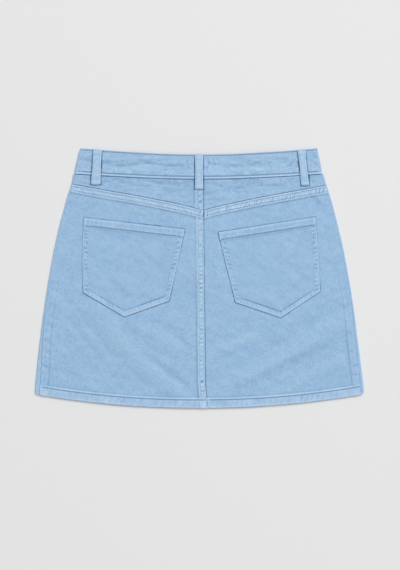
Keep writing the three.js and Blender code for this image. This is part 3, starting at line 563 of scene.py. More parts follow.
def proud(face, x, y, reach):
    """How far each place stands above those around it."""
    steps = ((reach, 0), (-reach, 0), (0, reach), (0, -reach))
    return face(x, y) - sum(face(x + dx, y + dy) for dx, dy in steps) / 4


def worn_and_shaded(face, x, y, drape):
    """The face's height and its tone: worn pale where it stands proud, and painted shade where it lies low.
    """
    # Columns: surface, how far round a place is looked at, and the height there that counts in full
    looks = ((face, 1.6, 0.3), (face, 4.0, 1.5), (drape, 9.0, 1.1))
    total = sum(proud(surface, x, y, reach) / full for surface, reach, full in looks)
    return face(x, y), 0.7 * np.clip(total, -1, 1)


def mesh_object(name, points, faces, materials):
    mesh = bpy.data.meshes.new(name)
    mesh.from_pydata((points * MM).tolist(), [], faces)
    for material in materials:
        mesh.materials.append(material)
    piece = bpy.data.objects.new(name, mesh)
    bpy.context.scene.collection.objects.link(piece)
    return piece


def picks(count, every):
    return np.append(np.arange(0, count - 1, every), count - 1)


def shell(name, outer, inner, wear_and_shade, material, every=4):
    """A thin closed shell, with an inner face of fewer points and the cut edge between the two."""
    rows, columns = outer.shape[:2]
    down, across = picks(rows, every), picks(columns, every)
    out = np.arange(rows * columns).reshape(rows, columns)
    into = rows * columns + np.arange(len(down) * len(across)).reshape(len(down), len(across))

    def quads(at):
        corners = np.stack([at[:-1, :-1], at[:-1, 1:], at[1:, 1:], at[1:, :-1]], axis=-1)
        return corners.reshape(-1, 4)

    faces = quads(out).tolist() + quads(into)[:, ::-1].tolist()
    for outside, inside, marks, turned in (
        (out[0], into[0], across, True),
        (out[-1], into[-1], across, False),
        (out[:, 0], into[:, 0], down, False),
        (out[:, -1], into[:, -1], down, True),
    ):
        for k in range(len(marks) - 1):
            run = outside[marks[k]:marks[k + 1] + 1].tolist() + [int(inside[k + 1]), int(inside[k])]
            faces.append(run[::-1] if turned else run)
    few = inner[np.ix_(down, across)].reshape(-1, 3)
    points = np.concatenate([outer.reshape(-1, 3), few])
    flat = quads(out)
    a, b, c = points[flat[:, 0]], points[flat[:, 1]], points[flat[:, 2]]
    centre = points.mean(axis=0)
    toward = np.einsum("ij,ij->i", np.cross(b - a, c - a), a - centre).sum()
    piece = mesh_object(name, points, faces, [material])
    if toward < 0:
        piece.data.flip_normals()
    piece.data.shade_smooth()
    piece.data.set_sharp_from_angle(angle=SHARP_ANGLE)
    # The outer face's wear and painted shade, kept for the material to turn into paler and darker colour
    values = np.zeros(len(points))
    values[:rows * columns] = np.broadcast_to(wear_and_shade, (rows, columns)).ravel()
    piece.data.attributes.new("worn_and_shaded", "FLOAT", "POINT").data.foreach_set("value", values)
    return piece


def dress(piece, node):
    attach(piece, "root")
    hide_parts(node)
    return piece


def resampled(line, step):
    """Points at even steps along a line."""
    line = np.asarray(line, float)
    lengths = np.concatenate([[0], np.cumsum(np.linalg.norm(np.diff(line, axis=0), axis=1))])
    at = np.arange(0, lengths[-1], step)
    return np.column_stack([np.interp(at, lengths, line[:, k]) for k in (0, 1)])


def sewn(line):
    """The stitches of one row, each as its two ends."""
    knots = resampled(line, STITCH_PITCH)
    step = np.diff(knots, axis=0)
    margin = (1 - STITCH_LENGTH / STITCH_PITCH) / 2
    return np.stack([knots[:-1] + margin * step, knots[1:] - margin * step], axis=1)


def bar_tack(start, end, width=2.6):
    """The close threads across a bar tack."""
    middle = resampled([start, end], TACK_PITCH)
    run = np.subtract(end, start) / np.linalg.norm(np.subtract(end, start))
    across = np.array([-run[1], run[0]]) * width / 2
    return np.stack([middle - across, middle + across], axis=1)


def thread_work(name, cloth, work, materials):
    """All the stitches on one piece. Work lists stitches, the face that they lie on, which way that looks
    and the radius of the needle's holes. Nothing reaches below the surface that the skirt lies on."""
    ring_at = np.array([0, 0.12, 0.5, 0.88, 1])
    ring_size = np.array([0.35, 0.9, 1, 0.9, 0.35]) * THREAD
    ring_rise = np.array([-0.22, 0.08, 0.2, 0.08, -0.22])
    angles = np.linspace(0, 2 * np.pi, 6)[:5]
    hole_angles = np.linspace(0, 2 * np.pi, 7)[:6]
    points, faces, kinds, count = [], [], [], 0
    for stitches, face, looks, hole_size in work:
        start, end = stitches[:, None, 0], stitches[:, None, 1]
        centre = start + (end - start) * ring_at[None, :, None]
        z = np.maximum(face(centre[..., 0], centre[..., 1]) + looks * ring_rise, THREAD_FLATNESS * THREAD)
        run = (end - start)[:, 0]
        run = run / np.linalg.norm(run, axis=1, keepdims=True)
        across = np.column_stack([-run[:, 1], run[:, 0]])
        wide = ring_size[None, :, None] * np.cos(angles)
        high = THREAD_FLATNESS * ring_size[None, :, None] * np.sin(angles)
        ring = np.zeros((len(stitches), 5, 5, 3))
        ring[..., 0] = centre[..., 0, None] + wide * across[:, None, None, 0]
        ring[..., 1] = centre[..., 1, None] + wide * across[:, None, None, 1]
        ring[..., 2] = z[..., None] + high
        at = count + np.arange(ring[..., 0].size).reshape(ring.shape[:3])
        turn = np.roll(at, -1, axis=2)
        quads = np.stack([at[:, :-1], at[:, 1:], turn[:, 1:], turn[:, :-1]], axis=-1).reshape(-1, 4)
        points.append(ring.reshape(-1, 3))
        faces += quads.tolist()
        kinds += [0] * len(quads)
        count += ring[..., 0].size
        if hole_size == NO_HOLE:
            continue
        # Each needle hole is drawn as a flat dark disc of painted shade
        hole = stitches[:, 1] + run * (STITCH_PITCH - STITCH_LENGTH) / 2
        disc = np.zeros((len(hole), 6, 3))
        disc[..., 0] = hole[:, None, 0] + hole_size * np.cos(hole_angles)
        disc[..., 1] = hole[:, None, 1] + hole_size * np.sin(hole_angles)
        disc[..., 2] = np.maximum(face(disc[..., 0], disc[..., 1]) + looks * HOLE_LIFT, 0)
        at = count + np.arange(len(hole) * 6).reshape(-1, 6)
        points.append(disc.reshape(-1, 3))
        faces += at.tolist()
        kinds += [1] * len(at)
        count += at.size
    piece = mesh_object(name, np.concatenate(points), faces, materials)
    piece.data.polygons.foreach_set("material_index", kinds)
    piece.data.shade_smooth()
    piece.parent = cloth
    return piece


# Materials

def linear(code):
    """An sRGB hex colour as linear light."""
    parts = [int(code[k:k + 2], 16) / 255 for k in (1, 3, 5)]
    return tuple(((c + 0.055) / 1.055) ** 2.4 if c > 0.04045 else c / 12.92 for c in parts) + (1.0,)


def add(tree, kind, settings=None, links=None):
    """One node, with its settings and what is linked into it."""
    node = tree.nodes.new("ShaderNode" + kind)
    for name, value in (settings or {}).items():
        if isinstance(name, str) and hasattr(node, name):
            setattr(node, name, value)
        else:
            node.inputs[name].default_value = value
    for name, source in (links or {}).items():
        tree.links.new(source, node.inputs[name])
    return node


def material(name):
    """A new material with its tree, the shader in it and the place of a point in the object."""
    made = bpy.data.materials.new(name)
    made.use_nodes = True
    tree = made.node_tree
    place = add(tree, "TexCoord").outputs["Object"]
    return made, tree, tree.nodes["Principled BSDF"], place


def set_shader(tree, shader, values, links):
    """Gives the shader its even values, and links in what varies."""
    for name, value in values.items():
        shader.inputs[name].default_value = value
    for name, source in links.items():
        tree.links.new(source, shader.inputs[name])


def blend_colour(tree, amount, first, second, mode="MIX"):
    """Mix node on colours. First and second are colours or outputs, amount is a number or an output."""
    settings, links = {"data_type": "RGBA", "blend_type": mode}, {}
    for socket, value in ((0, amount), (6, first), (7, second)):
        if hasattr(value, "links"):
            links[socket] = value
        else:
            settings[socket] = value
    return add(tree, "Mix", settings, links).outputs[2]


def washed_denim(name, cloth, worn_and_highlight, deep, weave=1.0, bare_and_highlight="#c4def5"):
    """Cotton twill, woven and stone-washed: matte and a little fuzzy, paler where it is worn and where
    highlights are painted, and darker where shade is painted. Its twill lines are about 0.5 mm apart in life,
    and drawn about 1 mm apart, so that they show close by."""
    made, tree, shader, place = material(name)
    worn_and_shaded_by = add(tree, "Attribute", {"attribute_name": "worn_and_shaded"}).outputs["Fac"]
    # Uneven yarns, 0.6 mm across in life. The warp's are drawn 1.2 mm across and 4 mm long, and the weft's
    # 1.6 mm across and 5 mm long, so that they show. Columns: size in metres, detail, roughness
    yarns = []
    for size, detail, roughness in (((0.0012, 0.004, 0.01), 3.0, 0.6), ((0.005, 0.0016, 0.01), 2.0, 0.55)):
        stretched = add(tree, "Mapping", {"Scale": tuple(1 / side for side in size)}, {"Vector": place})
        settings = {"Scale": 1.0, "Detail": detail, "Roughness": roughness}
        yarns.append(add(tree, "TexNoise", settings, {"Vector": stretched.outputs[0]}))
    warp, weft = yarns
    # The wash leaves cloudy patches about 16 mm across
    clouds = add(tree, "TexNoise", {"Scale": 1 / 0.016, "Detail": 3.0, "Roughness": 0.6}, {"Vector": place})
    twill_place = add(tree, "Mapping", {"Scale": (1.0, 0.62, 1.0)}, {"Vector": place})
    bands = {"wave_type": "BANDS", "bands_direction": "DIAGONAL", "Scale": 520.0, "Distortion": 1.2}
    twill = add(tree, "TexWave", {**bands, "Detail": 1.0}, {"Vector": twill_place.outputs[0]})
    colour = linear(cloth)
    # Columns: wear and painted shade where a tone begins and where it is full, its share there, the tone
    # Above 0 the tones are wear and painted highlight, and below 0 painted shade
    for least, most, share, tone in ((0.0, 1.0, 0.75, worn_and_highlight), (1.0, 2.2, 1.0, bare_and_highlight), (0.0, -2.0, 1.0, deep)):
        limits = {"From Min": least, "From Max": most, "To Max": share}
        amount = add(tree, "MapRange", limits, {"Value": worn_and_shaded_by}).outputs[0]
        colour = blend_colour(tree, amount, colour, linear(tone))
    for source, strength in ((warp, 0.2 * weave), (weft, 0.12 * weave), (clouds, 0.06)):
        tone = add(tree, "MapRange", {"From Min": 0.3, "From Max": 0.7}, {"Value": source.outputs[0]})
        shade = blend_colour(tree, tone.outputs[0], (0.0, 0.0, 0.0, 1.0), (1.0, 1.0, 1.0, 1.0))
        colour = blend_colour(tree, strength, colour, shade, "SOFT_LIGHT")
    fine = blend_colour(tree, 0.5, warp.outputs["Fac"], weft.outputs["Fac"])
    slubs = add(tree, "Bump", {"Strength": 0.5, "Distance": 0.0003}, {"Height": fine})
    relief = {"Height": twill.outputs["Fac"], "Normal": slubs.outputs[0]}
    bump = add(tree, "Bump", {"Strength": 0.35, "Distance": 0.00015}, relief)
    matte = {"Roughness": 0.9, "IOR": 1.5, "Specular IOR Level": 0.25}
    fuzz = {"Sheen Weight": 0.12, "Sheen Roughness": 0.5}
    set_shader(tree, shader, {**matte, **fuzz}, {"Base Color": colour, "Normal": bump.outputs[0]})
    return made


def spun_thread(name, colour, pale):
    """Cotton-wrapped polyester sewing thread, twisted: a soft gloss on each stitch."""
    made, tree, shader, place = material(name)
    fibres = add(tree, "TexNoise", {"Scale": 1 / 0.0009, "Detail": 2.0}, {"Vector": place})
    mixed = blend_colour(tree, fibres.outputs["Fac"], linear(colour), linear(pale))
    set_shader(tree, shader, {"Roughness": 0.6, "IOR": 1.5}, {"Base Color": mixed})
    return made


def plated_steel(name, colour, dull):
    """Steel, pressed and nickel-plated, worn satin: soft reflections with faint rubbing."""
    made, tree, shader, place = material(name)
    rubbing = add(tree, "TexNoise", {"Scale": 1 / 0.0012, "Detail": 4.0}, {"Vector": place})
    mixed = blend_colour(tree, rubbing.outputs["Fac"], linear(colour), linear(dull))
    rough = add(tree, "MapRange", {"To Min": 0.24, "To Max": 0.42}, {"Value": rubbing.outputs["Fac"]})
    set_shader(tree, shader, {"Metallic": 1.0}, {"Base Color": mixed, "Roughness": rough.outputs[0]})
    return made


def woven_tape(name, colour, deep):
    """Polyester tape, woven in a fine herringbone: flat colour with faint ribs along it, 1.2 mm apart."""
    made, tree, shader, place = material(name)
    ribs = add(tree, "TexWave", {"bands_direction": "X", "Scale": 0.314 / 0.0012}, {"Vector": place})
    mixed = blend_colour(tree, ribs.outputs["Fac"], linear(colour), linear(deep))
    bump = add(tree, "Bump", {"Strength": 0.4, "Distance": 0.0002}, {"Height": ribs.outputs["Fac"]})
    set_shader(tree, shader, {"Roughness": 0.8, "IOR": 1.5}, {"Base Color": mixed, "Normal": bump.outputs[0]})
    return made


def painted_board(name, colour):
    """Board with matt emulsion paint, rolled: an even pale grey with no gloss."""
    made, tree, shader, place = material(name)
    stipple = add(tree, "TexNoise", {"Scale": 1 / 0.004, "Detail": 2.0}, {"Vector": place})
    bump = add(tree, "Bump", {"Strength": 0.1, "Distance": 0.0001}, {"Height": stipple.outputs["Fac"]})
    values = {"Base Color": linear(colour), "Roughness": 0.95, "Specular IOR Level": 0.1}
    set_shader(tree, shader, values, {"Normal": bump.outputs[0]})
    return made


# Of each denim's three colours, the second is the pale of wear and painted highlight, the third painted shade
DENIM = washed_denim("washed_denim", "#9ec1e2", "#bcd7ef", "#3f6c9c")
POCKET_DENIM = washed_denim("washed_denim_pocket", "#9ec1e2", "#bcd7ef", "#3f6c9c", 0.7)
BAND_DENIM = washed_denim("washed_denim_band", "#a0c3e3", "#bcd7ef", "#3c6898")
LOOP_DENIM = washed_denim("washed_denim_worn_pale", "#a8c9e6", "#c6dff4", "#4773a2")
THREAD_WORK = spun_thread("spun_thread", "#b0d2f1", "#c0dcf5")
HOLE_SHADE = spun_thread("needle_hole_shade", "#2f5d93", "#3a699e")
STEEL = plated_steel("plated_steel", "#c3c6ca", "#a6aaae")
TAPE = woven_tape("woven_zip_tape", "#8ea6c0", "#7f97b1")
BOARD = painted_board("painted_board", "#ededed")
SEWING = [THREAD_WORK, HOLE_SHADE]


# Back panels

def sewn_at(x, y):
    """The stitches along a row of places."""
    return sewn(np.column_stack([x, y]))


def centre_rows(rows, low, high):
    y = np.linspace(low, high, LINE_STEPS)
    return [sewn_at(centre_seam(y) - row, y) for row in rows]


def from_line(line, x, y):
    """The distance from each place to a line."""
    nearest = np.full(x.shape, np.inf)
    for start, end in zip(line[:-1], line[1:]):
        step = end - start
        across, up = x - start[0], y - start[1]
        part = np.clip((across * step[0] + up * step[1]) / (step @ step), 0, 1)
        nearest = np.minimum(nearest, np.hypot(part * step[0] - across, part * step[1] - up))
    return nearest


def panel_wear_and_shade(x, y, wear_and_shade, pocket):
    """A back panel's wear and painted shade along its seams, its hem and round its pocket."""
    below_yoke, above_hem, centre = yoke_seam(x) - y, y - back_hem(x), centre_seam(y) - x
    from_side = np.minimum(x - left_ditch(y), right_ditch(y) - x)
    side = side_strength(y)
    in_yoke, in_hem = between(below_yoke, 1, YOKE_STRIP), between(above_hem, 0.5, BACK_HEM_FOLD)
    in_centre, in_side = between(centre, 1, CENTRE_STRIP), between(from_side, 0.5, SIDE_RIDGE) * side
    off_fold = side * (above_hem > BACK_HEM_FOLD)
    patches = uneven(x, y, 10, 116, 0.6)
    slanted = puckers(x, below_yoke, 5.8, 0.4 * np.sign(x), 10)
    swells = between(centre, 3.2, 7.6) * rungs(puckers(y, centre, 6.6, 0, 20), 0.5, 1.2)
    wear_and_shade = wear_and_shade + (0.45 + 1.4 * flecks(x + 0.3 * below_yoke, below_yoke, 121)) * in_yoke
    # The yoke seam's slanted swells: worn pale on their tops, painted shade in their dips
    wear_and_shade += slanted * between(below_yoke, 3.0, 10.4) * (0.25 + 0.5 * smooth(x, -60, 60))
    wear_and_shade += (0.38 + 0.9 * flecks(x + 0.3 * above_hem, above_hem, 122, 3.4)) * in_hem * patches
    wear_and_shade += (0.5 + 0.5 * flecks(y, centre, 123, 3.0)) * in_centre * (1 - in_yoke)
    wear_and_shade += 0.45 * in_hem * np.maximum(in_side, 1.5 * in_centre)
    wear_and_shade += swells * smooth(below_yoke, YOKE_STRIP, YOKE_STRIP + 3)
    # Pale lines of wear and painted highlight on edges, dark lines of painted shade in ditches and under rows
    wear_and_shade += wear_and_shade_lines([
        (below_yoke, 0, 0.8, -1.2, uneven(x, y, 12, 101, 0.5)),
        (below_yoke, 1.8, 0.7, 0.5, 1),
        (below_yoke, YOKE_ROWS[0], ROW_SHADE_HALF, -0.05, 1),
        (below_yoke, YOKE_ROWS[1], ROW_SHADE_HALF, -0.05, 1),
        (below_yoke, YOKE_STRIP + 0.8, 1.0, -0.35, uneven(x, y, 14, 102, 1.0)),
        (centre, 0, 0.5, -1.3, uneven(x, y, 11, 103)),
        (centre, -0.3, 0.7, -1.3, in_yoke),
        (centre, 1.6, 0.7, 0.5, (centre > 0) * (1 - in_yoke)),
        (centre, CENTRE_ROWS[0], ROW_SHADE_HALF, -0.1, below_yoke > YOKE_STRIP),
        (centre, CENTRE_STRIP + 1.0, 1.1, -0.5, smooth(y, 60, -60) * uneven(x, y, 14, 115)),
        (from_side, 0, 0.7, -0.45, side * uneven(x, y, 16, 109, 0.7)),
        (from_side, SIDE_RIDGE + 0.8, 1.4, -0.3, off_fold * uneven(x, y, 9, 114, 1.0)),
        (above_hem, 0.9, 0.9, 0.45, 1),
        (above_hem, HEM_ROW, ROW_SHADE_HALF, -0.22, 1),
        (above_hem, HEM_ROW + 2.0, 0.8, 0.75, patches),
    ])
    # Painted shadow along the outside of the pocket's edge
    corners = np.array(pocket[-1])
    from_pocket = from_line(np.vstack([corners, corners[:1]]), x, y)
    return wear_and_shade + painted_shade(from_pocket - 0.3, 0.7, 1.7) * uneven(x, y, 17, 104, 0.45)


def back_panel(node, left, right, columns, seam_ends, centre_stitches, hem_ends, pocket):
    """One back panel. The ends are those of its rows of stitches, along the yoke's seam and the hem."""
    rows = stations(close_to_edge(18, 1.3, (HEM_ROW,)), 190, close_to_edge(16, 1.2, YOKE_ROWS))
    x, y = plan(left, right, back_hem, lambda at: yoke_seam(at) - SEAM_GAP / 2, columns, rows)
    z, wear_and_shade = worn_and_shaded(panel_face, x, y, panel_drape)
    wear_and_shade = panel_wear_and_shade(x, y, wear_and_shade, pocket)
    piece = shell(node + "_cloth", np.dstack([x, y, z]), np.dstack([x, y, back_inner(x, y)]), wear_and_shade, DENIM)
    dress(piece, node)
    seam_x, hem_x = np.linspace(*seam_ends, LINE_STEPS), np.linspace(*hem_ends, LINE_STEPS)
    work = [(sewn_at(seam_x, yoke_seam(seam_x) - row), panel_face, 1, SLIGHT_HOLE) for row in YOKE_ROWS]
    work += [(stitches, panel_face, 1, FAINT_HOLE) for stitches in centre_stitches]
    work.append((sewn_at(hem_x, back_hem(hem_x) + HEM_ROW), panel_face, 1, CLEAR_HOLE))
    return piece, thread_work(node + "_stitches", piece, work, SEWING)


left_panel, left_panel_stitches = back_panel(
    "back_panel_left",
    lambda y: left_ditch(y) + SIDE_GAP / 2,
    lambda y: centre_seam(y) - SEAM_GAP / 2,
    stations(close_to_edge(13, 1.4), 130, close_to_edge(12, 0.8, CENTRE_ROWS)),
    (left_ditch(140) + 1, 4),
    centre_rows(CENTRE_ROWS, back_hem(8.0) + 1, yoke_seam(4.0) - 13),
    (left_ditch(-165) + 1, 11),
    POCKETS[0],
)
right_panel, right_panel_stitches = back_panel(
    "back_panel_right",
    lambda y: centre_seam(y) + SEAM_GAP / 2,
    lambda y: right_ditch(y) - SIDE_GAP / 2,
    stations(close_to_edge(8, 1.3), 135, close_to_edge(13, 1.4)),
    (9, right_ditch(140) - 1),
    [],
    (14, right_ditch(-165) - 1),
    POCKETS[1],
)


# Back yokes

def back_yoke(node, left, right, columns):
    rows = stations(close_to_edge(3, 1.2), 30, close_to_edge(3, 1.2))
    bottom = lambda x: yoke_seam(x) + SEAM_GAP / 2
    top = lambda x: edge(BACK_BAND_SEAM, x) - SEAM_GAP / 2
    x, y = plan(left, right, bottom, top, columns, rows)
    z, wear_and_shade = worn_and_shaded(yoke_face, x, y, yoke_drape)
    centre, below_band = centre_seam(y) - x, top(x) - y
    wear_and_shade += (0.2 + 1.2 * flecks(y, centre, 127, 3.0)) * between(centre, 1, YOKE_CENTRE_STRIP)
    # Swells along the centre seam: worn pale on top, painted shade in their dips
    wear_and_shade += 0.9 * between(centre, 3.0, 8.0) * puckers(y, centre, 7.5, 0, 21)
    # Painted shade under the waistband, at the yoke seam and in the centre seam's ditch
    wear_and_shade += wear_and_shade_lines([
        (below_band, 0, 0.5, -2.0, uneven(x, y, 20, 105, 0.3)),
        (below_band, 0, 5.5, -0.4, uneven(x, y, 15, 110, 0.6)),
        (y - bottom(x), 0, 0.6, -1.0, 1),
        (centre, 0, 0.5, -0.9, uneven(x, y, 9, 111)),
    ])
    # Painted shadow round the feet of the belt loops
    for _, _, foot_x, foot_y, _, foot_width in BACK_LOOPS:
        beside = np.maximum(np.abs(x - foot_x) - foot_width / 2, foot_y - y)
        wear_and_shade += painted_shade(beside - 0.2, 1.0, 2.2) * uneven(x, y, 6, 106, 0.3)
    piece = shell(node + "_cloth", np.dstack([x, y, z]), np.dstack([x, y, back_inner(x, y)]), wear_and_shade, DENIM)
    return dress(piece, node)


left_yoke = back_yoke(
    "back_yoke_left",
    lambda y: left_ditch(y) + SIDE_GAP / 2,
    lambda y: centre_seam(y) - SEAM_GAP / 2,
    stations(close_to_edge(13, 1.4), 120, close_to_edge(16, 0.9, YOKE_CENTRE_ROWS)),
)
yoke_stitches = centre_rows(YOKE_CENTRE_ROWS, yoke_seam(0.0) + 1, BACK_BAND_SEAM[0] - 1)
yoke_work = [(stitches, yoke_face, 1, FAINT_HOLE) for stitches in yoke_stitches]
left_yoke_stitches = thread_work("back_yoke_left_stitches", left_yoke, yoke_work, SEWING)
right_yoke = back_yoke(
    "back_yoke_right",
    lambda y: centre_seam(y) + SEAM_GAP / 2,
    lambda y: right_ditch(y) - SIDE_GAP / 2,
    stations(close_to_edge(4, 1.2), 135, close_to_edge(13, 1.4)),
)


# Patch pockets

def inset(line, distance):
    """A line moved to its left by a distance, its corners kept sharp."""
    line = np.asarray(line, float)
    step = np.diff(line, axis=0)
    step = step / np.linalg.norm(step, axis=1, keepdims=True)
    normal = np.column_stack([-step[:, 1], step[:, 0]])
    before, after = np.vstack([normal[:1], normal]), np.vstack([normal, normal[-1:]])
    middle = before + after
    return line + distance * middle / (0.5 * (middle ** 2).sum(axis=1, keepdims=True))


def back_pocket(node, bows, corners):
    top_left, bottom_left, point, bottom_right, top_right = np.array(corners)

    def side(a, b, bow):
        def at(y):
            t = np.clip((y - a[1]) / (b[1] - a[1]), 0, 1)
            return lerp(a[0], b[0], t) + bow * 4 * t * (1 - t)
        return at

    def line(a, b):
        return lambda x: lerp(a[1], b[1], (x - a[0]) / (b[0] - a[0]))

    left, right = side(top_left, bottom_left, bows[0]), side(top_right, bottom_right, bows[1])
    left_foot, right_foot = line(bottom_left, point), line(point, bottom_right)
    top = line(top_left, top_right)

    def bottom(x):
        return np.maximum(left_foot(x), right_foot(x))

    def inner(x, y):
        return panel_base(x, y) + POCKET_GAP

    def face(x, y):
        from_left, from_right = x - left(y), right(y) - x
        from_foot = (y - bottom(x)) * 0.9
        from_side = np.minimum(np.minimum(from_left, from_right), from_foot)
        from_top = (top(x) - y) * 0.99
        sideways = np.minimum(from_left, from_right) < from_foot
        turned = strip(from_side, POCKET_TURN, POCKET_TURN_HEIGHT) * np.where(sideways, 0.5, 1)
        hem = POCKET_HEM_HEIGHT * plateau(from_top, POCKET_HEM, POCKET_HEM + SHOULDER)
        swells = puckers(np.where(sideways, y, x), from_side, 6.5, 0.3, 80)
        pull = 0.32 * between(from_side, 3.0, 7.6) + 0.14 * beyond(from_side, POCKET_TURN + 0.5, 6)
        hem_pull = 0.22 * between(from_top, 2, 11) + 0.08 * beyond(from_top, POCKET_HEM + 1, 6)
        detail = furrows(from_side, POCKET_ROWS, 0.16) + furrows(from_top, (POCKET_HEM_ROW,), 0.2)
        detail += pull * swells * smooth(from_top, 12, 16) * np.where(sideways, 1, 0.55)
        detail += hem_pull * puckers(x, from_top, 7.4, 0.25, 82)
        detail += np.maximum(turned, hem) - 0.45 * (1 - smooth(np.minimum(from_side, from_top), 0, 1.1))
        return inner(x, y) - folds(DRAPE, x, y) + CLOTH + detail + drape(x, y)

    def drape(x, y):
        return folds(DRAPE, x, y) + 0.4 * folds(POCKET_CREASES, x, y) + ripples(x, y, 84)

    point_share = (point[0] - bottom_left[0]) / (bottom_right[0] - bottom_left[0])
    by_side = close_to_edge(12, 1.0, POCKET_ROWS)
    share, offset = stations(by_side, 90, by_side)
    place = np.searchsorted(share, point_share)
    columns = np.insert(share, place, point_share), np.insert(offset, place, 0.0)
    rows = stations(by_side, 90, close_to_edge(16, 1.0, (POCKET_HEM_ROW,)))
    x, y = plan(left, right, bottom, top, columns, rows)
    z, wear_and_shade = worn_and_shaded(face, x, y, drape)
    from_left_or_right = np.minimum(x - left(y), right(y) - x)
    from_side = np.minimum(from_left_or_right, (y - bottom(x)) * 0.9)
    from_top = top(x) - y
    in_foot = smooth(from_left_or_right - from_side, 0, 2)
    swells = puckers(np.where(in_foot > 0.5, x, y), from_side, 6.5, 0.3, 80)
    # Swells beside the pocket's edge: worn pale on top, painted shade in their dips
    ladder = rungs(swells, 0.3, 1.1) * between(from_side, 2.6, 7.4)
    wear_and_shade += ladder * smooth(from_top, 12, 16) * (1 - 0.5 * in_foot)
    wear_and_shade += 0.25 * in_foot * between(from_side, 1.5, 7.8) * uneven(x, y, 14, 117, 0.6)
    wear_and_shade += (0.1 + 1.0 * flecks(x, from_top, 125, 3.2)) * between(from_top, 2, POCKET_HEM_ROW)
    # Pale rims of wear and painted highlight inside the edge and top; painted shade along the inner and hem
    # rows
    wear_and_shade += wear_and_shade_lines([
        (from_side, 1.3, 0.7, 1.6, uneven(x, y, 10, 112, 0.5) * (0.45 + 0.75 * in_foot)),
        (from_side, POCKET_ROWS[1], ROW_SHADE_HALF, -1.6, in_foot * uneven(x, y, 12, 107, 0.5)),
        (from_top, 1.2, 0.8, 0.5, 1),
        (from_top, POCKET_HEM_ROW + 0.3, ROW_SHADE_HALF, -0.9, uneven(x, y, 10, 113)),
    ])
    piece = shell(node + "_cloth", np.dstack([x, y, z]), np.dstack([x, y, inner(x, y)]), wear_and_shade, POCKET_DENIM)
    dress(piece, node)

    down = np.linspace(top_left[1], bottom_left[1], 14)
    up = np.linspace(bottom_right[1], top_right[1], 14)
    outline = np.vstack([np.column_stack([left(down), down]), [point], np.column_stack([right(up), up])])
    work = [(sewn(inset(outline, row)), face, 1, 0.7 * FAINT_HOLE) for row in POCKET_ROWS]
    across = np.linspace(top_left[0] + 1, top_right[0] - 1, 80)
    for row, hole in ((POCKET_HEM_ROW, CLEAR_HOLE), (POCKET_TOP_ROW, FAINT_HOLE)):
        work.append((sewn_at(across, top(across) - row), face, 1, hole))
    for x_from, inward in ((top_left[0], 1), (top_right[0], -1)):
        start = np.array([x_from + 2.2 * inward, top(x_from) - 2.2])
        work.append((bar_tack(start, start + np.array([0.6 * inward, -9.5])), face, 1, NO_HOLE))
    return piece, thread_work(node + "_stitches", piece, work, SEWING)


pocket_pieces = [back_pocket(*row) for row in POCKETS]


# Front panels: flat below, round the side folds, and back to the side seams above

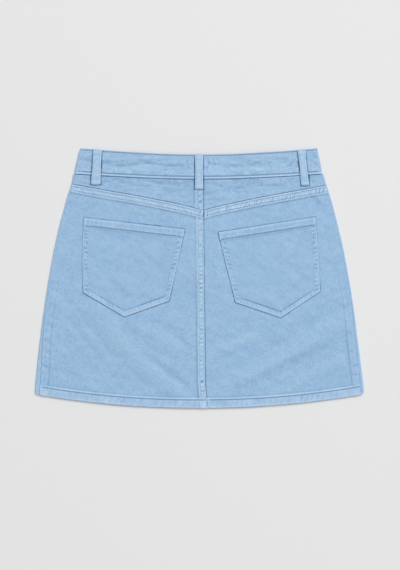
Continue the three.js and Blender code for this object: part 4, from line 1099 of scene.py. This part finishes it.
def front_panel(node, side):
    outer_lap = side < 0
    side_x, ditch_x = (left_side, left_ditch) if outer_lap else (right_side, right_ditch)

    def centre_edge(y):
        in_fly = smooth(y, FLY_BOTTOM - FLY_BLEND, FLY_BOTTOM)
        plain, lapped = (-SEAM_GAP / 2, FLY_OUTER) if outer_lap else (SEAM_GAP / 2, FLY_INNER)
        return lerp(plain, lapped, in_fly)

    def step_up(x, y):
        covered = 0 if outer_lap else smooth(y, FLY_STEP_FROM, FLY_STEP_TO)
        return (CLOTH + LAP_GAP) * covered * (1 - smooth(x, FLY_FLAT, FLY_REACH))

    def top(x):
        return edge(FRONT_BAND_SEAM, x) - SEAM_GAP / 2

    def bottom(x):
        return np.maximum(edge(FRONT_HEM, x), back_hem(x))

    def low(x, y):
        above_hem, below_band = y - bottom(x), top(x) - y
        pressed = -furrows(above_hem, (HEM_ROW,), 0.25)
        swells = puckers(x, above_hem, 8.2, -0.9, 31)
        pressed += 0.12 * between(above_hem, 1, HEM_ROW - 1) * (1 + swells)
        pressed += 0.4 * (1 - smooth(below_band, 0, 1.2)) + 0.3 * (1 - smooth(above_hem, 0, 1.0))
        pressed += 0.3 * (1 - smooth(np.abs(x - centre_edge(y)), 0, 1.0))
        pressed += 0.08 * (1 + grain(x / 24, y / 30, 91))
        return lift(x, y, FRONT_SLOPE) + step_up(x, y) + pressed

    share, extra = stations(close_to_edge(8, 1.6), 62, np.array([0, 0.9]))
    rows = stations(close_to_edge(18, 1.3), 120, close_to_edge(4, 1.3))
    share_y, extra_y = (values[:, None] for values in rows)
    share, extra = share[None, :], extra[None, :] * side
    x = share * side * WAIST_WIDTH + 0 * share_y
    for _ in range(PLAN_PASSES):
        y = lerp(bottom(x), top(x), share_y) + extra_y
        x = lerp(centre_edge(y), side_x(y) - side * fold_radius(y), share) + extra
    z = low(x, y) * (1 - smooth(share, 0.97, 1))
    hem = FRONT_HEM_HEIGHT * plateau(y - bottom(x), FRONT_HEM_FOLD, FRONT_HEM_FOLD + SHOULDER)
    z_in = lift(x, y, FRONT_SLOPE) + step_up(x, y) + CLOTH + hem * (1 - smooth(share, 0.96, 0.99))
    z_in = lerp(z_in, CLOTH, smooth(share, 0.96, 1))
    fold_x, fold_y = x[:, -1:], y[:, -1:]
    radius = fold_radius(fold_y)
    angle = HALF_TURN[None, 1:-1]

    def height_at(across):
        return lerp(bottom(across), top(across), share_y) + extra_y

    turn_x = fold_x + side * radius * np.sin(angle)
    turn_in = fold_x + side * (radius - CLOTH) * np.sin(angle)
    end_x = ditch_x(fold_y) + side * SIDE_GAP / 2
    back_x = lerp(fold_x, end_x, np.linspace(0, 1, 7)[None, :])
    back_y = height_at(back_x)
    to_ditch = np.abs(back_x - end_x)
    above_hem = back_y - bottom(back_x)
    back_z = 2 * radius - 0.35 * (1 - smooth(to_ditch, 0, 1.0)) + furrows(above_hem, (HEM_ROW,), 0.25)
    back_z += 0.15 * smooth(to_ditch, 0, 2) * puckers(back_y, to_ditch, 11, 0, 93)
    outer = np.dstack([
        np.hstack([x, turn_x, back_x]),
        np.hstack([y, height_at(turn_x), back_y]),
        np.hstack([z, radius * (1 - np.cos(angle)), back_z]),
    ])
    inner = np.dstack([
        np.hstack([x, turn_in, back_x]),
        np.hstack([y, height_at(turn_x), back_y]),
        np.hstack([z_in, radius - (radius - CLOTH) * np.cos(angle), 2 * radius - CLOTH + 0 * back_x]),
    ])
    # Painted shade in the side seam's ditch, from the hips down
    ditch_shade = -0.8 * (1 - smooth(to_ditch, 0, 1.1)) * side_strength(back_y)
    wear_and_shade = np.hstack([0.1 + 0 * x, 0.5 + 0 * turn_x, 0.3 + ditch_shade])
    piece = shell(node + "_cloth", outer, inner, wear_and_shade, DENIM)
    dress(piece, node)

    across = np.linspace(side * 2, side * 248, LINE_STEPS)
    lines = [(across, bottom(across) + HEM_ROW)]
    if outer_lap:
        tail = np.linspace(0, np.pi / 2, 16)
        for row in FLY_STITCH_ROWS:
            row_x = FLY_OUTER - row
            low_y = FLY_BOTTOM + 8 - (row - FLY_STITCH_ROWS[0])
            curve_x = row_x + FLY_STITCH_BEND * (1 - np.cos(tail))
            curve_y = low_y + FLY_STITCH_BEND * (1 - np.sin(tail))
            lines.append((np.append(row_x, curve_x), np.append(top(row_x) - 1, curve_y)))
        y_edge = np.linspace(FLY_BOTTOM + 2, top(FLY_OUTER) - 1, 40)
        lines.append((centre_edge(y_edge) - 1.8, y_edge))
    work = [(sewn_at(*line), low, -1, SLIGHT_HOLE) for line in lines]
    return piece, thread_work(node + "_stitches", piece, work, SEWING)


front_pieces = [front_panel("front_panel_left", -1), front_panel("front_panel_right", 1)]


# Waistband

def waistband():
    rise = stations(close_to_edge(4.5, 0.9, (BAND_SEAM_ROW,)), 30, close_to_edge(4, 0.9, (BAND_TOP_ROW,)))
    share, extra = (values[:, None] for values in rise)

    def front_y(x):
        return lerp(edge(FRONT_BAND_SEAM, x) + SEAM_GAP / 2, edge(FRONT_WAIST, x), share) + extra

    def back_y(x):
        return lerp(edge(BACK_BAND_SEAM, x) + SEAM_GAP / 2, edge(BACK_WAIST, x), share) + extra

    def lap(x):
        return (BAND + LAP_GAP) * (1 - smooth(x, LAP_FLAT, LAP_REACH))

    def low(x, y):
        below_top, above_seam = edge(FRONT_WAIST, x) - y, y - edge(FRONT_BAND_SEAM, x)
        pressed = -furrows(below_top, (BAND_TOP_ROW,), 0.25) - furrows(above_seam, (BAND_SEAM_ROW,), 0.25)
        pressed += 0.5 * (1 - smooth(below_top, 0, 1.1)) + 0.5 * (1 - smooth(above_seam, 0, 1.1))
        return lift(x, y, FRONT_SLOPE) + pressed + 0.06 * (1 + grain(x / 30, y / 7, 75))

    def fold_x(side, y):
        return along(BAND_SIDES, 1 if side < 0 else 2, y) - side * BAND_FOLD_RADIUS

    blocks = []

    def front_run(x, step):
        x = x[None, :] + 0 * share
        y = front_y(x)
        blocks.append((x, x, y, low(x, y) + step(x), lift(x, y, FRONT_SLOPE) + step(x) + BAND, 0.1 + 0 * x))

    def turn(side, angle):
        y = back_y(side * WAIST_WIDTH)
        depth = 38
        rounding = 0.5 * (1 - smooth((1 - share) * depth, 0, 1.1)) + 0.5 * (1 - smooth(share * depth, 0, 1.1))
        out, back = BAND_FOLD_RADIUS - rounding, BAND_FOLD_RADIUS - BAND
        across, up = side * np.sin(angle)[None, :], -np.cos(angle)[None, :]
        x_out = fold_x(side, y) + across * out
        x_in = fold_x(side, y) + across * back
        z_out, z_in = BAND_FOLD_RADIUS + up * out, BAND_FOLD_RADIUS + up * back
        blocks.append(np.broadcast_arrays(x_out, x_in, y, z_out, z_in, 0.3))

    outer_side = np.concatenate([[LAP_OUTER_END, 15.6, 15, 14], np.arange(12, -178, -2.6)])
    front_run(outer_side, lambda x: 0)
    turn(-1, HALF_TURN)
    middle = np.linspace(0, 1, 300)[None, 1:-1]
    x = lerp(-WAIST_WIDTH, WAIST_WIDTH, middle) + 0 * share
    for _ in range(6):
        y = back_y(x)
        x = lerp(fold_x(-1, y), fold_x(1, y), middle)
    z, wear_and_shade = worn_and_shaded(band_face, x, y, band_waves)
    below_top, above_seam = edge(BACK_WAIST, x) - y, y - edge(BACK_BAND_SEAM, x)
    wear_and_shade += 1.2 * flecks(x, y, 124, 3.0) * between(above_seam, 4.8, 14)
    # Painted shade in the seam's ditch and under the rows; pale lines of wear and painted highlight on the
    # edges
    wear_and_shade += wear_and_shade_lines([
        (above_seam, 0, 0.5, -1.6, 1),
        (above_seam, 1.9, 0.8, 1.3, uneven(x, y, 3.3, 128, 0.5)),
        (above_seam, BAND_SEAM_ROW, ROW_SHADE_HALF, -0.5, 1),
        (below_top, 0.5, 0.6, 0.6, 1),
        (below_top, BAND_TOP_ROW, ROW_SHADE_HALF, -0.2, 1),
    ])
    # Painted shade beside the belt loops
    for _, top_x, foot_x, foot_y, top_width, foot_width in BACK_LOOPS:
        t = (y - foot_y) / (edge(BACK_WAIST, top_x) - foot_y)
        beside = np.abs(x - lerp(foot_x, top_x, t)) - lerp(foot_width, top_width, t) / 2
        wear_and_shade += painted_shade(beside - 0.2, 0.9, 2.2) * uneven(x, y, 6, 108, 0.5)
    near_fold = smooth(np.abs(lerp(-1, 1, middle)), 0.97, 1)
    blocks.append((x, x, y, lerp(z, 2 * BAND_FOLD_RADIUS, near_fold), band_inner(x, y), wear_and_shade))
    turn(1, HALF_TURN[::-1])
    inner_side = np.concatenate([np.arange(178, -22, -2.6), [-22.5, -23.4, LAP_INNER_END]])
    front_run(inner_side, lap)
    x_out, x_in, y, z_out, z_in, wear_and_shade = (np.hstack([block[k] for block in blocks]) for k in range(6))
    outer, inner = np.dstack([x_out, y, z_out]), np.dstack([x_in, y, z_in])
    piece = shell("waistband_cloth", outer, inner, wear_and_shade, BAND_DENIM)
    dress(piece, "waistband")

    x_back = np.linspace(-184, 182, 200)
    x_front = np.linspace(-182, LAP_OUTER_END - 2, LINE_STEPS)
    x_right = np.linspace(LAP_OUTER_END + 3, 180, 80)
    work = []
    for x, top, seam, on_face, looks, hole in (
        (x_back, BACK_WAIST, BACK_BAND_SEAM, band_face, 1, CLEAR_HOLE),
        (x_front, FRONT_WAIST, FRONT_BAND_SEAM, low, -1, SLIGHT_HOLE),
        (x_right, FRONT_WAIST, FRONT_BAND_SEAM, lambda x, y: low(x, y) + lap(x), -1, SLIGHT_HOLE),
    ):
        work.append((sewn_at(x, edge(top, x) - BAND_TOP_ROW), on_face, looks, hole))
        work.append((sewn_at(x, edge(seam, x) + BAND_SEAM_ROW), on_face, looks, hole))
    work.append((sewn([(LAP_OUTER_END - 2, 142.5), (LAP_OUTER_END - 2, 176.0)]), low, -1, SLIGHT_HOLE))
    return piece, thread_work("waistband_stitches", piece, work, SEWING)


band, band_stitches = waistband()


# Belt loops on the back

def back_loop(node, top_x, foot_x, foot_y, top_width, foot_width):
    top_y = edge(BACK_WAIST, top_x) - 0.4
    seam_y = edge(BACK_BAND_SEAM, top_x)

    def middle(y):
        t = (y - foot_y) / (top_y - foot_y)
        pinch = 1.1 * np.sin(np.pi * np.clip(t, 0, 1)) ** 2 + 3.2 * (1 - smooth(y - foot_y, -0.8, 2.0))
        return lerp(foot_x, top_x, t), lerp(foot_width, top_width, t) - pinch

    def under(y):
        t = np.clip((y - foot_y) / (top_y - foot_y), 0, 1)
        centre, _ = middle(y)
        on_band = band_inner(centre, np.maximum(y, seam_y)) + BAND
        on_yoke = yoke_base(centre, np.minimum(y, seam_y))
        base = lerp(on_yoke, on_band, smooth(y, seam_y - LOOP_DROP, seam_y))
        return base + LAYER_GAP + LOOP_ARCH * np.sin(np.pi * t)

    def under_loop(x, y):
        return under(y)

    def face(x, y):
        centre, width = middle(y)
        from_edge = width / 2 - np.abs(x - centre)
        to_end = np.minimum(y - foot_y, top_y - y)
        thick = lerp(LOOP, LOOP_END, plateau(to_end, LOOP_TURN - 1, LOOP_TURN))
        rounding = 0.5 * (1 - smooth(to_end, 0, 1.2)) + 0.6 * (1 - smooth(from_edge, 0, 1.3))
        detail = furrows(from_edge, (LOOP_ROW,), 0.24) - rounding
        detail += 0.12 * between(from_edge, 2.6, 9) * puckers(y, 0, 6.4, 0, 95)
        return under(y) + thick + detail

    share = np.concatenate([[0, 0.025, 0.07], np.linspace(0.12, 0.88, 15), [0.93, 0.975, 1]])[None, :]
    y = foot_y + edge_to_edge(top_y - foot_y, 62)[:, None]
    centre, width = middle(y)
    x = centre + (share - 0.5) * width
    y = y + 0 * share
    z, wear_and_shade = worn_and_shaded(face, x, y, under_loop)
    from_edge = width / 2 - np.abs(x - centre)
    at_edge = 1 - smooth(from_edge, 0.5, 1.8)
    # Painted highlight along each loop's right edge, with a little wear along both edges
    wear_and_shade += (0.1 + 0.7 * (x > centre)) * at_edge * uneven(x, y, 7, 129, 0.7)
    # A pale band of wear and painted highlight across the loop's foot, and pale worn flecks
    wear_and_shade += wear_and_shade_lines([(y - foot_y, 2.2, 1.5, 1.5, smooth(from_edge, 0, 2))]) + 0.9 * flecks(x, y, 130)
    inner = np.dstack([x, y, under(y)])
    piece = shell(node + "_cloth", np.dstack([x, y, z]), inner, wear_and_shade, LOOP_DENIM, every=3)
    dress(piece, node)
    work = []
    for hand in (-1, 1):
        run = np.linspace(foot_y + 1, top_y - 1, 20)
        centre, width = middle(run)
        work.append((sewn_at(centre + hand * (width / 2 - LOOP_ROW), run), face, 1, FAINT_HOLE))
    tack_y = foot_y + 2.6
    centre, width = middle(tack_y)
    reach = width / 2 - 1.2
    work.append((bar_tack((centre - reach, tack_y), (centre + reach, tack_y), 2.2), face, 1, NO_HOLE))
    return piece, thread_work(node + "_stitches", piece, work, SEWING)


loop_pieces = [back_loop(*row) for row in BACK_LOOPS]


# Belt loops on the front, pressed flat under the waistband

def front_loop(node, side):
    centre = side * FRONT_LOOP_X
    top_y = edge(FRONT_WAIST, centre) - 1
    foot_y = edge(FRONT_BAND_SEAM, centre) - FRONT_LOOP_LENGTH

    def low(x, y):
        from_edge = np.minimum(FRONT_LOOP_WIDTH / 2 - np.abs(x - centre), np.minimum(y - foot_y, top_y - y))
        return 0.45 * (1 - smooth(from_edge, 0, 1.2)) - furrows(from_edge, (LOOP_ROW,), 0.2)

    across = edge_to_edge(FRONT_LOOP_WIDTH, 14) - FRONT_LOOP_WIDTH / 2
    run = edge_to_edge(top_y - foot_y, 40)
    x = centre + across[None, :] + 0 * run[:, None]
    y = foot_y + run[:, None] + 0 * x
    piece = shell(
        node + "_cloth",
        np.dstack([x, y, low(x, y)]),
        np.dstack([x, y, FRONT_LOOP + 0 * x]),
        0.3 + 0 * x,
        LOOP_DENIM,
        every=3,
    )
    dress(piece, node)
    work = []
    for hand in (-1, 1):
        at_x = centre + hand * (FRONT_LOOP_WIDTH / 2 - LOOP_ROW)
        work.append((sewn([(at_x, foot_y + 1), (at_x, top_y - 1)]), low, -1, FAINT_HOLE))
    reach = FRONT_LOOP_WIDTH / 2 - 1
    for tack_y in (foot_y + 4, top_y - 4):
        work.append((bar_tack((centre - reach, tack_y), (centre + reach, tack_y), 1.8), low, -1, NO_HOLE))
    return piece, thread_work(node + "_stitches", piece, work, SEWING)


front_loop_pieces = [front_loop("belt_loop_front_left", -1), front_loop("belt_loop_front_right", 1)]


# Zip inside the fly

def tape_under(x, y):
    on_inner = smooth(x, ZIP_RAMP_FROM, ZIP_RAMP_TO) * (CLOTH + LAP_GAP)
    return lift(x, y, FRONT_SLOPE) + CLOTH + LAP_GAP + on_inner


def zip_tapes():
    x = np.linspace(ZIP_LEFT, ZIP_RIGHT, 31)[None, :]
    y = np.linspace(ZIP_BOTTOM, ZIP_TOP, 60)[:, None]
    x, y = x + 0 * y, y + 0 * x
    under = tape_under(x, y)
    cord = 0.25 * np.exp(-((np.abs(x - CHAIN_X) - 2.4) / 0.7) ** 2)
    face = np.dstack([x, y, under + ZIP_TAPE + cord])
    piece = shell("fly_zip_tape", face, np.dstack([x, y, under]), 0 * x, TAPE)
    return dress(piece, "fly_zip")


def zip_teeth(tape):
    """Interlocked teeth, one each way every 1.25 mm, as small rounded blocks."""
    points, faces = [], []
    corners = np.array([(-1, -1), (1, -1), (1, 1), (-1, 1)], float)
    for k, y in enumerate(np.arange(ZIP_BOTTOM + 2, ZIP_TOP - 1, 1.25)):
        x = CHAIN_X + (0.7 if k % 2 else -0.7)
        base = float(tape_under(np.array(x), np.array(y))) + ZIP_TAPE - 0.1
        start = len(points)
        for size, z in ((1.0, base), (1.0, base + 0.5), (0.75, base + 0.75)):
            points += [(x + 1.6 * size * u, y + 0.5 * size * v, z) for u, v in corners]
        for ring in (0, 4):
            faces += [[start + ring + a, start + ring + b, start + ring + b + 4, start + ring + a + 4]
                      for a, b in ((0, 1), (1, 2), (2, 3), (3, 0))]
        faces += [[start + 8, start + 9, start + 10, start + 11], [start + 3, start + 2, start + 1, start]]
    piece = mesh_object("fly_zip_teeth", np.array(points), faces, [STEEL])
    piece.parent = tape
    return piece


tape = zip_tapes()
teeth = zip_teeth(tape)


# Waist button, turned from its profile, facing down through the waistband

def waist_button():
    top = BUTTON_LIFT + BAND + LAP_GAP - LAYER_GAP
    profile = np.array([
        (0, 0.62), (1.2, 0.6), (3.6, 0.55), (4.9, 0.42), (5.6, 0.18), (6.2, 0.03), (6.8, 0), (7.5, 0.05),
        (8.1, 0.25), (8.4, 0.6), (8.5, 1.0), (8.4, 1.5), (8.0, 1.85), (7.4, 2.0), (2.2, 2.0), (1.6, 2.1),
        (1.5, 2.4), (1.5, top), (0, top),
    ])
    angle = np.linspace(0, 2 * np.pi, 65)[:-1]
    rings = np.stack([
        BUTTON_X + profile[:, :1] * np.cos(angle),
        BUTTON_Y + profile[:, :1] * np.sin(angle),
        profile[:, 1:] + 0 * angle,
    ], axis=-1)
    at = np.arange(rings[..., 0].size).reshape(rings.shape[:2])
    turn = np.roll(at, -1, axis=1)
    faces = np.stack([at[:-1], at[1:], turn[1:], turn[:-1]], axis=-1).reshape(-1, 4).tolist()
    piece = mesh_object("waist_button_metal", rings.reshape(-1, 3), faces, [STEEL])
    piece.data.shade_smooth()
    return dress(piece, "waist_button")


button = waist_button()

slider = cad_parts["zip_slider"]
slider.data.materials.clear()
slider.data.materials.append(STEEL)
rounding = slider.modifiers.new("rounding", "BEVEL")
rounding.width = 0.3 * MM
rounding.segments = 2


# Floor


def laid_floor():
    size, low = 4000.0, -0.3
    corners = np.array([(-size, -size, low), (size, -size, low), (size, size, low), (-size, size, low)])
    return mesh_object("floor", corners, [[0, 1, 2, 3]], [BOARD])


floor = laid_floor()


# Light and camera

def soft_light(name, place, target, size, power):
    """A large square softbox, aimed at a point."""
    lamp = bpy.data.lights.new(name, "AREA")
    lamp.shape = "SQUARE"
    lamp.size = size
    lamp.energy = power
    holder = bpy.data.objects.new(name, lamp)
    bpy.context.scene.collection.objects.link(holder)
    holder.location = place
    aim = Vector(target) - Vector(place)
    holder.rotation_euler = aim.to_track_quat("-Z", "Y").to_euler()


# The photograph's colours are plain sRGB, with no film look
bpy.context.scene.view_settings.view_transform = "Standard"
soft_light("window_side", (3.6, 4.8, 7.8), (0, 0, 0), 5.0, 520)
soft_light("overhead", (0.0, -1.0, 7.0), (0, 0, 0), 4.5, 98)

world = bpy.data.worlds.new("studio")
world.use_nodes = True
background = world.node_tree.nodes["Background"]
background.inputs["Color"].default_value = (1.0, 1.0, 1.0, 1.0)
background.inputs["Strength"].default_value = 0.365
bpy.context.scene.world = world

lens = bpy.data.cameras.new("camera")
lens.lens = 100
lens.sensor_width = 36
camera = bpy.data.objects.new("camera", lens)
bpy.context.scene.collection.objects.link(camera)
# Straight above, where this lens frames the skirt as the photograph does
camera.location = (0.00078, -0.0099, 2.46)
bpy.context.scene.camera = camera
